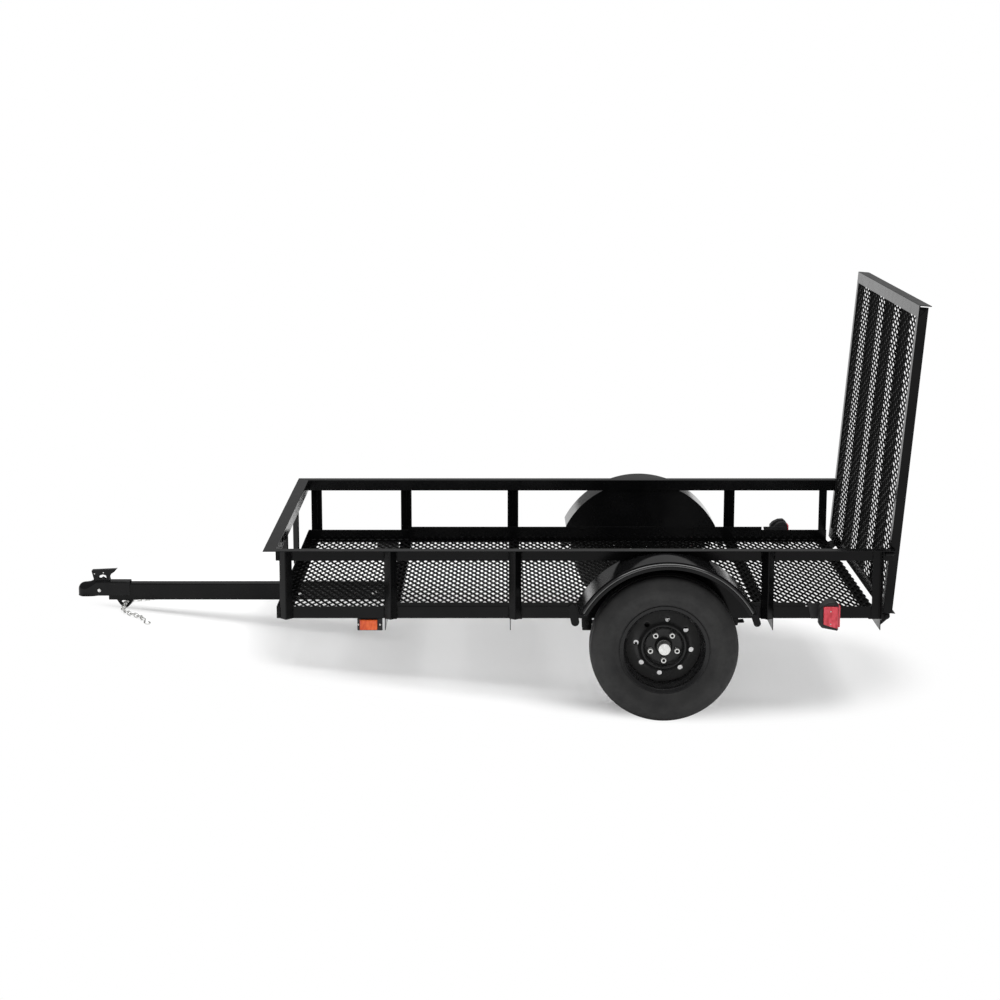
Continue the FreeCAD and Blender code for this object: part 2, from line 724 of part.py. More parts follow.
def park_angle():
    """Turn about the axle, in degrees, that lets the chain loop down to the floor."""
    ahead = LOOP_X - AXLE_X
    above = LOOP_LOW_Z + LOOP_NOSE_R - AXLE_Z
    reach = math.hypot(ahead, above)
    drop = LOOP_NOSE_R - TYRE_R
    return math.degrees(math.acos(drop / reach) - abs(math.atan2(ahead, above)))


level = {
    "bottom_rail_right": bottom_rail(),
    "bottom_rail_left": mirrored(bottom_rail()),
    "front_sill": front_sill(),
    "cross_members": cross_members(),
    "rear_sill": cross_angle(REAR_X, -1),
    "top_rail_right": top_side_rail(),
    "top_rail_left": mirrored(top_side_rail()),
    "top_rail_front": top_front_rail(),
    "posts_right": side_posts(),
    "posts_left": mirrored(side_posts()),
    "posts_front": front_posts(),
    "floor_mesh": floor_mesh(),
    "inner_strips": Part.makeCompound([inner_strip(), mirrored(inner_strip())]),
    "tongue_tube": tongue_tube(),
    "tongue_brackets": tongue_brackets(),
    "coupler": coupler(),
    "coupler_latch": coupler_latch(),
    "chain_loop": chain_loop(),
    "axle": axle(),
    "spring_right": spring(),
    "spring_left": mirrored(spring()),
    "spring_hangers": Part.makeCompound(hangers() + [mirrored(h) for h in hangers()]),
    "axle_clamps": Part.makeCompound([axle_clamps(), mirrored(axle_clamps())]),
    "fender_right": fender(),
    "fender_left": mirrored(fender()),
    "marker_lamps": Part.makeCompound([marker_lamp(), mirrored(marker_lamp())]),
    "marker_lenses": Part.makeCompound([marker_lens(), mirrored(marker_lens())]),
    "tail_lamps": Part.makeCompound([tail_lamp(), mirrored(tail_lamp())]),
    "tail_lenses": Part.makeCompound([tail_lens(), mirrored(tail_lens())]),
    "hinge_lugs": hinge_lugs(),
    "gate_latches": Part.makeCompound([gate_latch(), mirrored(gate_latch())]),
    "gate_stile_right": gate_place(gate_stile()),
    "gate_stile_left": gate_place(mirrored(gate_stile())),
    "gate_top": gate_place(gate_top()),
    "gate_bottom": gate_place(gate_bottom()),
    "gate_bars": gate_place(gate_bars()),
    "gate_mesh": gate_place(gate_mesh()),
    "gate_knuckles": gate_place(gate_knuckles()),
    "tyre_right": tyre(),
    "tyre_left": mirrored(tyre()),
    "rim_right": rim(),
    "rim_left": mirrored(rim()),
    "hub_right": hub(),
    "hub_left": mirrored(hub()),
}

# Tip the trailer about its axle onto the chain loop
tilt = park_angle()
axle_point = V(AXLE_X, 0, AXLE_Z)
for shape in level.values():
    shape.rotate(axle_point, ACROSS, -tilt)
level["safety_chains"] = safety_chains()

# Put the origin on the floor under the middle of the whole trailer
box = FreeCAD.BoundBox()
for shape in level.values():
    box.add(shape.BoundBox)
shift = V(-(box.XMin + box.XMax) / 2, 0, -PARKED_ROAD_Z)

os.makedirs("parts", exist_ok=True)
for node, shape in level.items():
    shape.translate(shift)
    shape.exportStep("parts/" + node + ".step")


def parked(point):
    """Where a point of the level trailer comes to lie, in metres."""
    turn = FreeCAD.Rotation(ACROSS, -tilt)
    moved = axle_point + turn.multVec(point - axle_point) + shift
    return [round(v / 1000, 6) for v in moved]


print("park angle", round(tilt, 4))
print("axle", parked(axle_point))
print("hinge", parked(hinge_point()))
print("ball", parked(V(BALL_X, 0, (COUPLER_LOW_Z + BALL_Z) / 2)))
print("tongue top", parked(V(-1300, 0, TONGUE_TOP_Z)))
print("size", [round(v) for v in (box.XLength, box.YLength, box.ZLength)])
print("lowest", round(box.ZMin + shift.z, 3))
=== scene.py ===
# %% [markdown]
# ## A utility trailer on a pale floor
# The trailer is a welded bed of steel angle with a mesh floor, two wheels under round
# fenders, and a tall mesh gate that folds down as a ramp. It comes in as plain solids, each
# riding on the body that moves it. This lesson dresses the solids: rolled corners, real mesh,
# treads, bolts, welds and paint. Most pieces are worked out as arrays of points, because a
# rule for a whole surface is shorter, and truer to how steel is rolled and pressed, than
# pushing single points about.

# %% Load the frame
import json
import math
import bmesh
import bpy
import numpy as np
from mathutils import Matrix, Vector


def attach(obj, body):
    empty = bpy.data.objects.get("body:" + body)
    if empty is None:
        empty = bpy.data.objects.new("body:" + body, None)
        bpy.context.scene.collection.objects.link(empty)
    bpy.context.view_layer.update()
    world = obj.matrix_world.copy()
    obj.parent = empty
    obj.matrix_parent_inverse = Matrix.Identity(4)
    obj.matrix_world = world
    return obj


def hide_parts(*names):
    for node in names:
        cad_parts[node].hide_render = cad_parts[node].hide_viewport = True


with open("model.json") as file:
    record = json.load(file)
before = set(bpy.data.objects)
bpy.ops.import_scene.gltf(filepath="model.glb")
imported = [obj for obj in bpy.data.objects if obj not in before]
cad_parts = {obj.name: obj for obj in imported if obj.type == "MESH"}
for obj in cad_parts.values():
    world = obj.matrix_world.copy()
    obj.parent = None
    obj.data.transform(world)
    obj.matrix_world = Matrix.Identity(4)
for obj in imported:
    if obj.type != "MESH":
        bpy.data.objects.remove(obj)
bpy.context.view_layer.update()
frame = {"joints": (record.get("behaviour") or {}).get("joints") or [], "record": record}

# %% [markdown]
# ## Level drawing, parked trailer
# A trailer is drawn level, but without a vehicle it tips nose down onto the loop under its
# tongue. So every shape below is given in millimetres on the level drawing, X to the rear, Y
# to the trailer's right and Z up, and one function turns it about the axle into its parked
# place. The turn and the axle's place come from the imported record, so they can't disagree
# with the solids.

# %% From the level drawing to the parked place
joints = {joint["name"]: joint for joint in frame["joints"]}
mounts = {mount["name"]: mount for mount in frame["record"]["mounts"]}
SPINDLE = joints["wheel_left_spin"]["pos_m"]
BALL_AXIS = mounts["hitch_ball"]["axis"]
TILT = math.atan2(BALL_AXIS[0], -BALL_AXIS[2])
AXLE_X, AXLE_Z, MM = 665.4, 306.0, 0.001
GATE_X, GATE_Z, GATE_LEAN = 1579.6, 408.0, math.radians(4.7)


def tip(x, z, angle):
    """Turn in the side view: x by cosine less z by sine, and x by sine plus z by cosine."""
    return x * math.cos(angle) - z * math.sin(angle), x * math.sin(angle) + z * math.cos(angle)


def park(points):
    """Parked place, in metres, of level points in millimetres: a turn by TILT about the axle."""
    x, y, z = np.asarray(points, float).T
    x, z = tip(x - AXLE_X, z - AXLE_Z, TILT)
    return np.column_stack([SPINDLE[0] + x * MM, y * MM, SPINDLE[2] + z * MM])


def stand_gate(points):
    """Place of a gate point, drawn upright from its lower front edge: leaned, then parked."""
    x, y, z = np.asarray(points, float).T
    x, z = tip(x, z, -GATE_LEAN)
    return park(np.column_stack([GATE_X + x, y, GATE_Z + z]))


print("parked", round(math.degrees(TILT), 3), "degrees nose down")

# %% [markdown]
# ## The camera
# The photograph was taken from the trailer's left, a little above it, with a long lens. The
# camera's place and direction are given on the level drawing too, and then parked like the
# rest, so the trailer stands in the picture as it does in the photograph.

# %% Camera at the photograph's angle
CAMERA_AT, CAMERA_DOWN = (0.0, -9489.5, 2590.0), math.radians(11.07)


def parked_direction(x, y, z):
    """A direction on the level drawing, turned as the trailer is."""
    x, z = tip(x, z, TILT)
    return Vector((x, y, z))


scene = bpy.context.scene
camera_data = bpy.data.cameras.new("camera")
camera_data.lens = 78.41
camera_data.sensor_width = 36.0
camera_data.clip_end = 200.0
camera = bpy.data.objects.new("camera", camera_data)
scene.collection.objects.link(camera)
side = parked_direction(1, 0, 0)
upward = parked_direction(0, math.sin(CAMERA_DOWN), math.cos(CAMERA_DOWN))
turn = Matrix((side, upward, side.cross(upward))).transposed().to_4x4()
camera.matrix_world = Matrix.Translation(park([CAMERA_AT])[0]) @ turn
scene.camera = camera
print("camera at", [round(v, 3) for v in camera.matrix_world.translation])

# %% [markdown]
# ## Floor and light
# Black paint shows little of its own colour: what the eye sees is the room in it. The room
# here is a pale floor that runs out to white, a soft even light from all round, and one wide
# soft lamp overhead. Upright faces mirror the bright floor, flat tops mirror the dimmer far
# wall at a shallow angle, and that difference draws the shape of every rail.

# %% World and lamp
WHITE = (1, 1, 1, 1)
SEEN_LIGHT, ROOM_LIGHT, WALL_LIGHT = 1.0, 0.74, 0.22


def node(tree, kind, how=None, **values):
    """A shader node with its operation or interpolation, and the plain values of its inputs."""
    made = tree.nodes.new("ShaderNode" + kind)
    if how:
        setattr(made, "interpolation_type" if kind == "MapRange" else "operation", how)
    for socket, value in values.items():
        made.inputs[socket.replace("_", " ")].default_value = value
    return made


def connect(tree, *links):
    """Links, each given as a node and its output, then a node and its input."""
    for source, out, target, into in links:
        tree.links.new(source.outputs[out], target.inputs[into])


scene.view_settings.view_transform = "Standard"
scene.world = bpy.data.worlds.new("studio")
scene.world.use_nodes = True
room = scene.world.node_tree
room.nodes.clear()
rays = node(room, "LightPath")
shown, soft, wall = [node(room, "Background", Color=WHITE, Strength=strength)
                     for strength in (SEEN_LIGHT, ROOM_LIGHT, WALL_LIGHT)]
mirrored, choose = node(room, "MixShader"), node(room, "MixShader")
connect(room, (rays, "Is Glossy Ray", mirrored, "Fac"), (soft, 0, mirrored, 1),
        (wall, 0, mirrored, 2), (rays, "Is Camera Ray", choose, "Fac"),
        (mirrored, 0, choose, 1), (shown, 0, choose, 2),
        (choose, 0, node(room, "OutputWorld"), 0))

lamp_data = bpy.data.lights.new("overhead", "AREA")
lamp_data.shape = "SQUARE"
lamp_data.size = 5.5
lamp_data.energy = 236.0
lamp = bpy.data.objects.new("overhead", lamp_data)
lamp.location = (0.1, -0.5, 4.6)
scene.collection.objects.link(lamp)
print("room", ROOM_LIGHT, "lamp", lamp_data.energy, "W")

# %% Floor that runs out to white
REACH, FLOOR_WHITE, FADE = 60.0, 0.95, (1.7, 3.8)
POOL_AT, POOL_SIZE, POOL_FADE = (-0.12, -0.30, 0.0), (0.52, 0.70, 1.0), (0.85, 1.05)
ground = bpy.data.meshes.new("studio_floor")
ground.from_pydata([(x * REACH, y * REACH, 0) for x, y in ((-1, -1), (1, -1), (1, 1), (-1, 1))],
                   [], [(0, 1, 2, 3)])
studio_floor = bpy.data.objects.new("studio_floor", ground)
studio_floor.location = (0, 0, -0.0005)
scene.collection.objects.link(studio_floor)
floor_paint = bpy.data.materials.new("pale_floor")
floor_paint.use_nodes = True
ground.materials.append(floor_paint)
tree = floor_paint.node_tree
tree.nodes.clear()
rays, spot = node(tree, "LightPath"), node(tree, "TexCoord")
pool = node(tree, "Mapping", Location=POOL_AT, Scale=POOL_SIZE)
away, pool_away = [node(tree, "VectorMath", "LENGTH") for _ in range(2)]
fade, pool_fade = [node(tree, "MapRange", "SMOOTHSTEP", From_Min=near, From_Max=far)
                   for near, far in (FADE, POOL_FADE)]
mirror_ray, white_part = [node(tree, "Math", "MAXIMUM") for _ in range(2)]
in_mirror, in_view = [node(tree, "Math", "MULTIPLY") for _ in range(2)]
matt = node(tree, "BsdfDiffuse", Color=(FLOOR_WHITE, FLOOR_WHITE, FLOOR_WHITE, 1))
mix = node(tree, "MixShader")
connect(tree, (spot, "Object", away, 0), (away, "Value", fade, "Value"),
        (rays, "Is Glossy Ray", mirror_ray, 0), (rays, "Is Transmission Ray", mirror_ray, 1),
        (fade, "Result", in_mirror, 0), (mirror_ray, 0, in_mirror, 1),
        (spot, "Object", pool, "Vector"), (pool, "Vector", pool_away, 0),
        (pool_away, "Value", pool_fade, "Value"), (pool_fade, "Result", in_view, 0),
        (rays, "Is Camera Ray", in_view, 1), (in_mirror, 0, white_part, 0),
        (in_view, 0, white_part, 1), (white_part, 0, mix, "Fac"), (matt, 0, mix, 1),
        (node(tree, "Emission"), 0, mix, 2), (mix, 0, node(tree, "OutputMaterial"), "Surface"))
print("floor", 2 * REACH, "m wide, its pool", POOL_SIZE)

# %% [markdown]
# ## Finishes
# The steel is sprayed with gloss black, which dries with a faint orange-peel ripple and
# thinner and thicker patches. Rubber is matt and slightly mottled, zinc plate is bright with
# a spangle, and the lamps are moulded plastic. Each finish reads the object's own
# coordinates, so it sits still on the part from every side, and each gets its variation from
# noise at the size of the real thing, a few millimetres for the peel and a hand's width for
# the patches. The wheel disc alone is painted lighter towards its rim, by its distance from
# the axle: that is painted light, standing in for the floor's reflection that its recess loses to
# shade.

# %% Tools for finishes
finish = {}


def speckle(tree, scale, detail=3.0, stretch=(1, 1, 1), low=0.0, high=1.0):
    """Noise at the object's own place, its middle range carried to low..high."""
    place, size = node(tree, "TexCoord"), node(tree, "Mapping", Scale=stretch)
    noise = node(tree, "TexNoise", Scale=scale, Detail=detail)
    span = node(tree, "MapRange", From_Min=0.3, From_Max=0.7, To_Min=low, To_Max=high)
    connect(tree, (place, "Object", size, "Vector"), (size, "Vector", noise, "Vector"),
            (noise, 0, span, "Value"))
    return span


def new_finish(name, tones, patches, shine, rough, grain, bump, factor=None, **values):
    """A material with one Principled shader. Two tones are mixed by a noise of patches or by
    another factor, the roughness goes from one value to another by a noise of shine, and a
    noise of grain makes a bump of a strength and a depth in metres. Noises are given as scale,
    detail and stretch. Plain values are set on the shader's own sockets."""
    finish[name] = bpy.data.materials.new(name)
    finish[name].use_nodes = True
    tree = finish[name].node_tree
    shader = tree.nodes["Principled BSDF"]
    for socket, value in values.items():
        shader.inputs[socket.replace("_", " ")].default_value = value
    mixer = node(tree, "Mix")
    mixer.data_type = "RGBA"
    mixer.inputs[6].default_value, mixer.inputs[7].default_value = [(*t, 1) for t in tones]
    ripple = node(tree, "Bump", Strength=bump[0], Distance=bump[1])
    share = factor(tree) if factor else speckle(tree, *patches)
    connect(tree, (share, "Result", mixer, 0), (mixer, 2, shader, "Base Color"),
            (speckle(tree, *grain), "Result", ripple, "Height"),
            (ripple, "Normal", shader, "Normal"))
    if rough:
        shine = speckle(tree, *shine, low=rough[0], high=rough[1])
        connect(tree, (shine, "Result", shader, "Roughness"))


# %% Black paints
def black_paint(name, tone, dusty_and_lit, rough, peel, gloss, factor=None):
    """Sprayed black: darker and dustier patches, uneven gloss and an orange-peel ripple. A factor,
    if given, mixes the two tones instead of the patches; on the wheel disc its lighter tone is
    painted light.
    """
    new_finish(name, (tone, dusty_and_lit), patches=(7.0, 5.0), shine=(23.0, 4.0), rough=rough,
               grain=(420.0, 2.0), bump=(peel, 0.0004), factor=factor, Specular_IOR_Level=gloss)


def painted_light_outwards(tree, plain_until=0.085, dusty_and_lit=0.150):
    """Distance from the wheels' axis, from where the disc's paint is plain to where it is painted
    lightest: painted light that lifts the recessed outer disc out of its shade, in place of the
    floor's reflection.
    """
    place, length = node(tree, "TexCoord"), node(tree, "VectorMath", "LENGTH")
    hub = node(tree, "Mapping", Location=(-SPINDLE[0], 0, -SPINDLE[2]), Scale=(1, 0, 1))
    light_ramp = node(tree, "MapRange", From_Min=plain_until, From_Max=dusty_and_lit)
    connect(tree, (place, "Object", hub, "Vector"), (hub, "Vector", length, 0),
            (length, "Value", light_ramp, "Value"))
    return light_ramp


black_paint("frame_paint", (0.0020, 0.0021, 0.0023), (0.0044, 0.0044, 0.0046),
            rough=(0.13, 0.21), peel=0.12, gloss=0.13)
black_paint("fender_paint", (0.0025, 0.0026, 0.0028), (0.0048, 0.0048, 0.0050),
            rough=(0.08, 0.13), peel=0.06, gloss=0.14)
black_paint("mesh_paint", (0.0013, 0.0013, 0.0014), (0.0026, 0.0026, 0.0026),
            rough=(0.30, 0.42), peel=0.3, gloss=0.035)
black_paint("spring_paint", (0.006, 0.006, 0.0063), (0.011, 0.0107, 0.0103),
            rough=(0.34, 0.48), peel=0.30, gloss=0.14)
black_paint("rim_paint", (0.007, 0.007, 0.0073), (0.011, 0.011, 0.0113),
            rough=(0.22, 0.32), peel=0.12, gloss=0.25)
black_paint("bead_paint", (0.005, 0.005, 0.0053), (0.008, 0.008, 0.0083),
            rough=(0.12, 0.2), peel=0.06, gloss=1.0)
black_paint("coupler_paint", (0.0045, 0.0046, 0.005), (0.0080, 0.0080, 0.0083),
            rough=(0.16, 0.26), peel=0.20, gloss=0.14)
# Painted light: the disc's second tone lightens it towards the rim, where its recess would shade
# it.
black_paint("disc_paint", (0.009, 0.009, 0.0092), (0.040, 0.0398, 0.0395),
            rough=(0.20, 0.30), peel=0.12, gloss=0.27, factor=painted_light_outwards)
print("paints", sorted(finish))

# %% Rubber, zinc and lamp plastics
new_finish("tyre_rubber", ((0.014, 0.014, 0.0143), (0.023, 0.0228, 0.0225)),
           patches=(16.0, 6.0), shine=(60.0,), rough=(0.50, 0.66), grain=(900.0, 2.0),
           bump=(0.25, 0.0003), Specular_IOR_Level=0.32)
new_finish("zinc", ((0.60, 0.60, 0.58), (0.80, 0.80, 0.79)), patches=(90.0, 4.0),
           shine=(160.0,), rough=(0.22, 0.38), grain=(1200.0, 2.0), bump=(0.15, 0.0002),
           Metallic=0.9)
new_finish("lamp_black", ((0.013, 0.013, 0.0135), (0.019, 0.019, 0.0195)), patches=(40.0,),
           shine=(120.0,), rough=(0.35, 0.48), grain=(1500.0, 1.0), bump=(0.25, 0.0002),
           Specular_IOR_Level=0.3)
for name, tones in (("lens_red", ((0.46, 0.020, 0.033), (0.70, 0.070, 0.102))),
                    ("lens_amber", ((0.56, 0.054, 0.004), (0.74, 0.125, 0.015)))):
    # Clear coloured plastic over a ribbed reflector: its lighter and deeper upright bands under a
    # gloss are painted reflection of that reflector
    new_finish(name, tones, patches=(95.0, 1.0, (1, 1, 0.4)), shine=None, rough=None,
               grain=(260.0, 0.0, (1, 1, 0.2)), bump=(0.3, 0.001), Roughness=0.14,
               Specular_IOR_Level=0.4, Coat_Weight=0.2, Coat_Roughness=0.05,
               Subsurface_Weight=0.15, Subsurface_Scale=0.004)
print("finishes", len(finish))

# %% [markdown]
# ## Closed shapes from arrays
# A rolled or pressed piece is one outline carried along a path, so nearly everything below
# is a stack of rings: the first and last ring are closed by a face, or the stack runs round
# into itself. A shape is a pair: its points, and its faces grouped by their number of
# corners. The sign of its volume says whether the faces point outwards, and if not, they are
# all turned round.

# %% Rings into solids
ACROSS = np.array([0.0, 1.0, 0.0])


def outward(points, groups):
    """Turn the faces round if the volume, the sum of the cones from the origin, is negative."""
    volume = 0.0
    for faces in groups:
        first = points[faces[:, 0]]
        for k in range(1, faces.shape[1] - 1):
            pair_cross = np.cross(points[faces[:, k]], points[faces[:, k + 1]])
            volume += np.einsum("ij,ij->", first, pair_cross)
    return points, [faces[:, ::-1] for faces in groups] if volume < 0 else groups


def grid_faces(rows, cols, wrap_rows=False, wrap_cols=False):
    """Quads of a grid of points, which may run round into its first row or column."""
    r = np.arange(rows if wrap_rows else rows - 1)[:, None]
    c = np.arange(cols if wrap_cols else cols - 1)[None, :]
    r_next, c_next = (r + 1) % rows, (c + 1) % cols
    quads = [r * cols + c, r_next * cols + c, r_next * cols + c_next, r * cols + c_next]
    return np.stack(np.broadcast_arrays(*quads), axis=-1).reshape(-1, 4)


def end_faces(count, sides):
    """The faces on the first and on the last of a count of rings."""
    first = np.arange(sides)
    return np.stack([first[::-1], first + (count - 1) * sides])


def solid(rings, wrap=False):
    """Closed shape from rings of points, with a face at each end unless the rings wrap round."""
    rings = np.asarray(rings, float)
    count, sides = rings.shape[:2]
    groups = [grid_faces(count, sides, wrap, True)]
    return outward(rings.reshape(-1, 3), groups + ([] if wrap else [end_faces(count, sides)]))


def combine(shapes):
    """Several shapes as one: their faces keep pointing at their own points."""
    points, groups, start = [], {}, 0
    for shape_points, shape_groups in shapes:
        points.append(shape_points)
        for faces in shape_groups:
            groups.setdefault(faces.shape[1], []).append(faces + start)
        start += len(shape_points)
    return np.concatenate(points), [np.concatenate(faces) for faces in groups.values()]


def across(shape):
    """The same shape on the other side of the trailer, its faces outwards again."""
    return outward(shape[0] * (1, -1, 1), shape[1])


def both(*shapes):
    """The shapes of the right side, and the same on the left."""
    return [side_shape for shape in shapes for side_shape in (shape, across(shape))]


def piece(name, shapes, *nodes, body="chassis", slot="frame_paint", coat=None, place=park,
          sharp=32, merge=False, steel=0.0):
    """Put shapes into one object that rides on a body and stands for solids of the frame, in
    its slot's finish or another coat. A sheet gets its thickness of steel, inwards. Normals are
    weighed by area, so that flat faces stay flat up to their round edges."""
    points, groups = combine(shapes)
    loops = np.concatenate([faces.ravel() for faces in groups])
    sizes = np.concatenate([np.full(len(faces), faces.shape[1]) for faces in groups])
    mesh = bpy.data.meshes.new(name)
    mesh.vertices.add(len(points))
    mesh.vertices.foreach_set("co", place(points).astype(np.float32).ravel())
    mesh.loops.add(len(loops))
    mesh.loops.foreach_set("vertex_index", loops.astype(np.int32))
    mesh.polygons.add(len(sizes))
    starts = np.concatenate([[0], np.cumsum(sizes)[:-1]])
    mesh.polygons.foreach_set("loop_start", starts.astype(np.int32))
    mesh.update(calc_edges=True)
    mesh.validate()
    if merge:
        joined = bmesh.new()
        joined.from_mesh(mesh)
        bmesh.ops.remove_doubles(joined, verts=joined.verts, dist=2e-5)
        joined.to_mesh(mesh)
        joined.free()
    mesh.shade_smooth()
    mesh.set_sharp_from_angle(angle=math.radians(sharp))
    mesh.materials.append(finish[coat or slot])
    thing = bpy.data.objects.new(name, mesh)
    scene.collection.objects.link(thing)
    if steel:
        skin = thing.modifiers.new("steel", "SOLIDIFY")
        skin.thickness, skin.offset = steel * MM, -1.0
    thing.modifiers.new("flat faces", "WEIGHTED_NORMAL").keep_sharp = True
    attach(thing, body)
    if nodes:
        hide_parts(*nodes)


def pair(name, shapes, node_name, body="chassis", **how):
    """A piece on the right and its mirror image on the left, each for its own solid."""
    for hand, hand_shapes in (("right", shapes), ("left", [across(s) for s in shapes])):
        piece(f"{name}_{hand}", hand_shapes, f"{node_name}_{hand}",
              body=f"wheel_{hand}" if body == "wheel" else body, **how)


# %% [markdown]
# ## Outlines
# Rolled steel has no sharp corners: the heel of an angle is round, its toes are rounded on
# the inside, and there is a fillet where the legs meet. Those few millimetres catch the
# light, and without them the rails look like paper. An arc is put in each corner of a plain
# outline, at the radius that the mill leaves.

# %% Rounding and shrinking outlines
def rounded(corners, radii, steps=4):
    """Outline whose corners give way to arcs that touch both sides, by turning one radius to
    the other."""
    corners = np.asarray(corners, float)
    runs = []
    for here, before, after, radius in zip(corners, np.roll(corners, 1, 0),
                                           np.roll(corners, -1, 0),
                                           np.broadcast_to(radii, len(corners))):
        a = (before - here) / np.linalg.norm(before - here)
        b = (after - here) / np.linalg.norm(after - here)
        half = math.acos(np.clip(a @ b, -1, 1)) / 2
        middle = here + (a + b) / np.linalg.norm(a + b) * radius / math.sin(half)
        start, end = [here + way * radius / math.tan(half) - middle for way in (a, b)]
        sweep = math.pi - 2 * half
        t = np.linspace(0, 1, steps + 1)[:, None]
        arc = (np.sin(sweep * (1 - t)) * start + np.sin(sweep * t) * end) / math.sin(sweep)
        runs.append(middle + arc)
    return np.concatenate(runs)


def shrunk(outline, amount):
    """Outline moved inwards by an amount, each point along the mean of its two sides' normals."""
    outline = np.asarray(outline, float)
    x, y = outline.T
    area = np.sum(x * np.roll(y, -1) - np.roll(x, -1) * y)
    step = np.roll(outline, -1, 0) - outline
    normal = np.column_stack([-step[:, 1], step[:, 0]]) * np.sign(area)
    normal /= np.linalg.norm(normal, axis=1)[:, None]
    mean = normal + np.roll(normal, 1, 0)
    return outline + amount * mean / (np.sum(mean * mean, axis=1)[:, None] / 2)


def smooth_line(points, per_span):
    """Curve through the points, a cubic on each span that leaves and arrives along the chords."""
    p = np.asarray(points, float)
    p = np.concatenate([2 * p[:1] - p[1:2], p, 2 * p[-1:] - p[-2:-1]])
    t = np.linspace(0, 1, per_span, endpoint=False)[:, None]
    spans = [b + t / 2 * (c - a + t * (2 * a - 5 * b + 4 * c - d + t * (3 * (b - c) + d - a)))
             for a, b, c, d in zip(p[:-3], p[1:-2], p[2:-1], p[3:])]
    return np.concatenate(spans + [p[-2:-1]])


def around(x, z, radius, angles):
    """Points on a circle: its middle, plus the radius by cosine and by sine."""
    return np.column_stack([x + radius * np.cos(angles), z + radius * np.sin(angles)])


def box_outline(u0, u1, v0, v1, radius, steps=3):
    """Rectangle with its corners rounded."""
    return rounded([(u0, v0), (u1, v0), (u1, v1), (u0, v1)], radius, steps)


def angle_outline(leg, wall, scale=1.0):
    """Rolled angle with its heel at the origin and its legs along both axes."""
    corners = [(0, 0), (leg, 0), (leg, wall), (wall, wall), (wall, leg), (0, leg)]
    return rounded(corners, np.array([2.0, 0.8, 1.6, 3.2, 1.6, 0.8]) * scale, 4)


LEG, STEEL, POST_LEG = 50.8, 3.2, 38.1
rail_outline = angle_outline(LEG, STEEL)
post_outline = angle_outline(POST_LEG, STEEL, 0.9)
print("angle outline of", len(rail_outline), "points")


# %% Bars and plates
VIEWS = {"side": ((1, 0, 0), (0, 0, 1), (0, 1, 0)), "end": ((0, 1, 0), (0, 0, 1), (1, 0, 0)),
         "top": ((1, 0, 0), (0, 1, 0), (0, 0, 1))}


def bar(outline, start, run, u_way, v_way, cut_start=None, cut_end=None, edge=0.4):
    """Outline carried along a run. A cut moves each point of an end along the run, by its own
    place in the outline, so an end may be mitred. The last bit, the edge, is chamfered."""
    start, run, u_way, v_way = [np.asarray(v, float) for v in (start, run, u_way, v_way)]
    length = np.linalg.norm(run)
    tight, rings = shrunk(outline, edge), []
    for line, inset, cut, at_end in ((tight, 0, cut_start, 0), (outline, edge, cut_start, 0),
                                     (outline, edge, cut_end, 1), (tight, 0, cut_end, 1)):
        u, v = line.T
        depth = inset + (cut(u, v) if cut else 0 * u)
        along = length - depth if at_end else depth
        rings.append(start + np.outer(u, u_way) + np.outer(v, v_way)
                     + np.outer(along, run / length))
    return solid(rings)


def plate(outline, view, low, high, edge=0.4):
    """Flat piece drawn in one view and as thick as low to high, with its edges broken."""
    u_way, v_way, way = np.array(VIEWS[view], float)
    return bar(np.asarray(outline, float), way * low, way * (high - low), u_way, v_way,
               edge=edge)


def layers(lines, levels, view, wrap=False):
    """Outlines drawn in one view, each at its own level across it, as the rings of a solid."""
    u_way, v_way, way = np.array(VIEWS[view], float)
    return solid([np.outer(line[:, 0], u_way) + np.outer(line[:, 1], v_way) + way * level
                  for line, level in zip(lines, levels)], wrap)


def pierced(outer, hole, view, low, high, edge=0.4, count=72):
    """Plate with a hole: both outlines are read at the same angles about the hole's middle, and
    the rings run up the outside and down the inside."""
    middle = np.mean(hole, axis=0)
    turns = np.linspace(-math.pi, math.pi, count, endpoint=False)

    def read(line):
        line = np.asarray(line, float)
        t = np.linspace(0, 1, 24, endpoint=False)[:, None, None]
        dense = (line + (np.roll(line, -1, 0) - line) * t).transpose(1, 0, 2).reshape(-1, 2)
        off = dense - middle
        bearing = np.arctan2(off[:, 1], off[:, 0])
        order = np.argsort(bearing)
        far = np.interp(turns, bearing[order], np.hypot(*off[order].T), period=2 * math.pi)
        return middle + np.column_stack([np.cos(turns), np.sin(turns)]) * far[:, None]

    outer, hole = read(outer), read(hole)
    tight, wide = shrunk(outer, edge), shrunk(hole, -edge)
    return layers([tight, outer, outer, tight, wide, hole, hole, wide],
                  [low, low + edge, high - edge, high, high, high - edge, low + edge, low],
                  view, wrap=True)


def turned(radii, along, centre, way=ACROSS, steps=48, wrap=False):
    """Round piece on an axis: one ring for each height along it. A radius may also change round
    the ring, as a row of its own, which is how a hexagon is turned."""
    way = np.asarray(way, float) / np.linalg.norm(way)
    first = np.cross(way, (0.0, 0.0, 1.0) if abs(way[2]) < 0.9 else (1.0, 0.0, 0.0))
    first /= np.linalg.norm(first)
    theta = np.linspace(0, 2 * math.pi, steps, endpoint=False)
    radii = np.asarray(radii, float)
    radii = radii[:, None] if radii.ndim == 1 else radii
    spokes = np.outer(np.cos(theta), first) + np.outer(np.sin(theta), np.cross(way, first))
    return solid(np.asarray(centre, float) + np.asarray(along, float)[:, None, None] * way
                 + (radii * np.ones(steps))[..., None] * spokes, wrap)


def rod(radius, low, high, centre, way=ACROSS, steps=32, chamfer=(1.0, 1.0)):
    """Round bar with both ends chamfered, by a depth and a length."""
    depth, length = chamfer
    return turned([radius - depth, radius, radius, radius - depth],
                  [low, low + length, high - length, high], centre, way, steps)


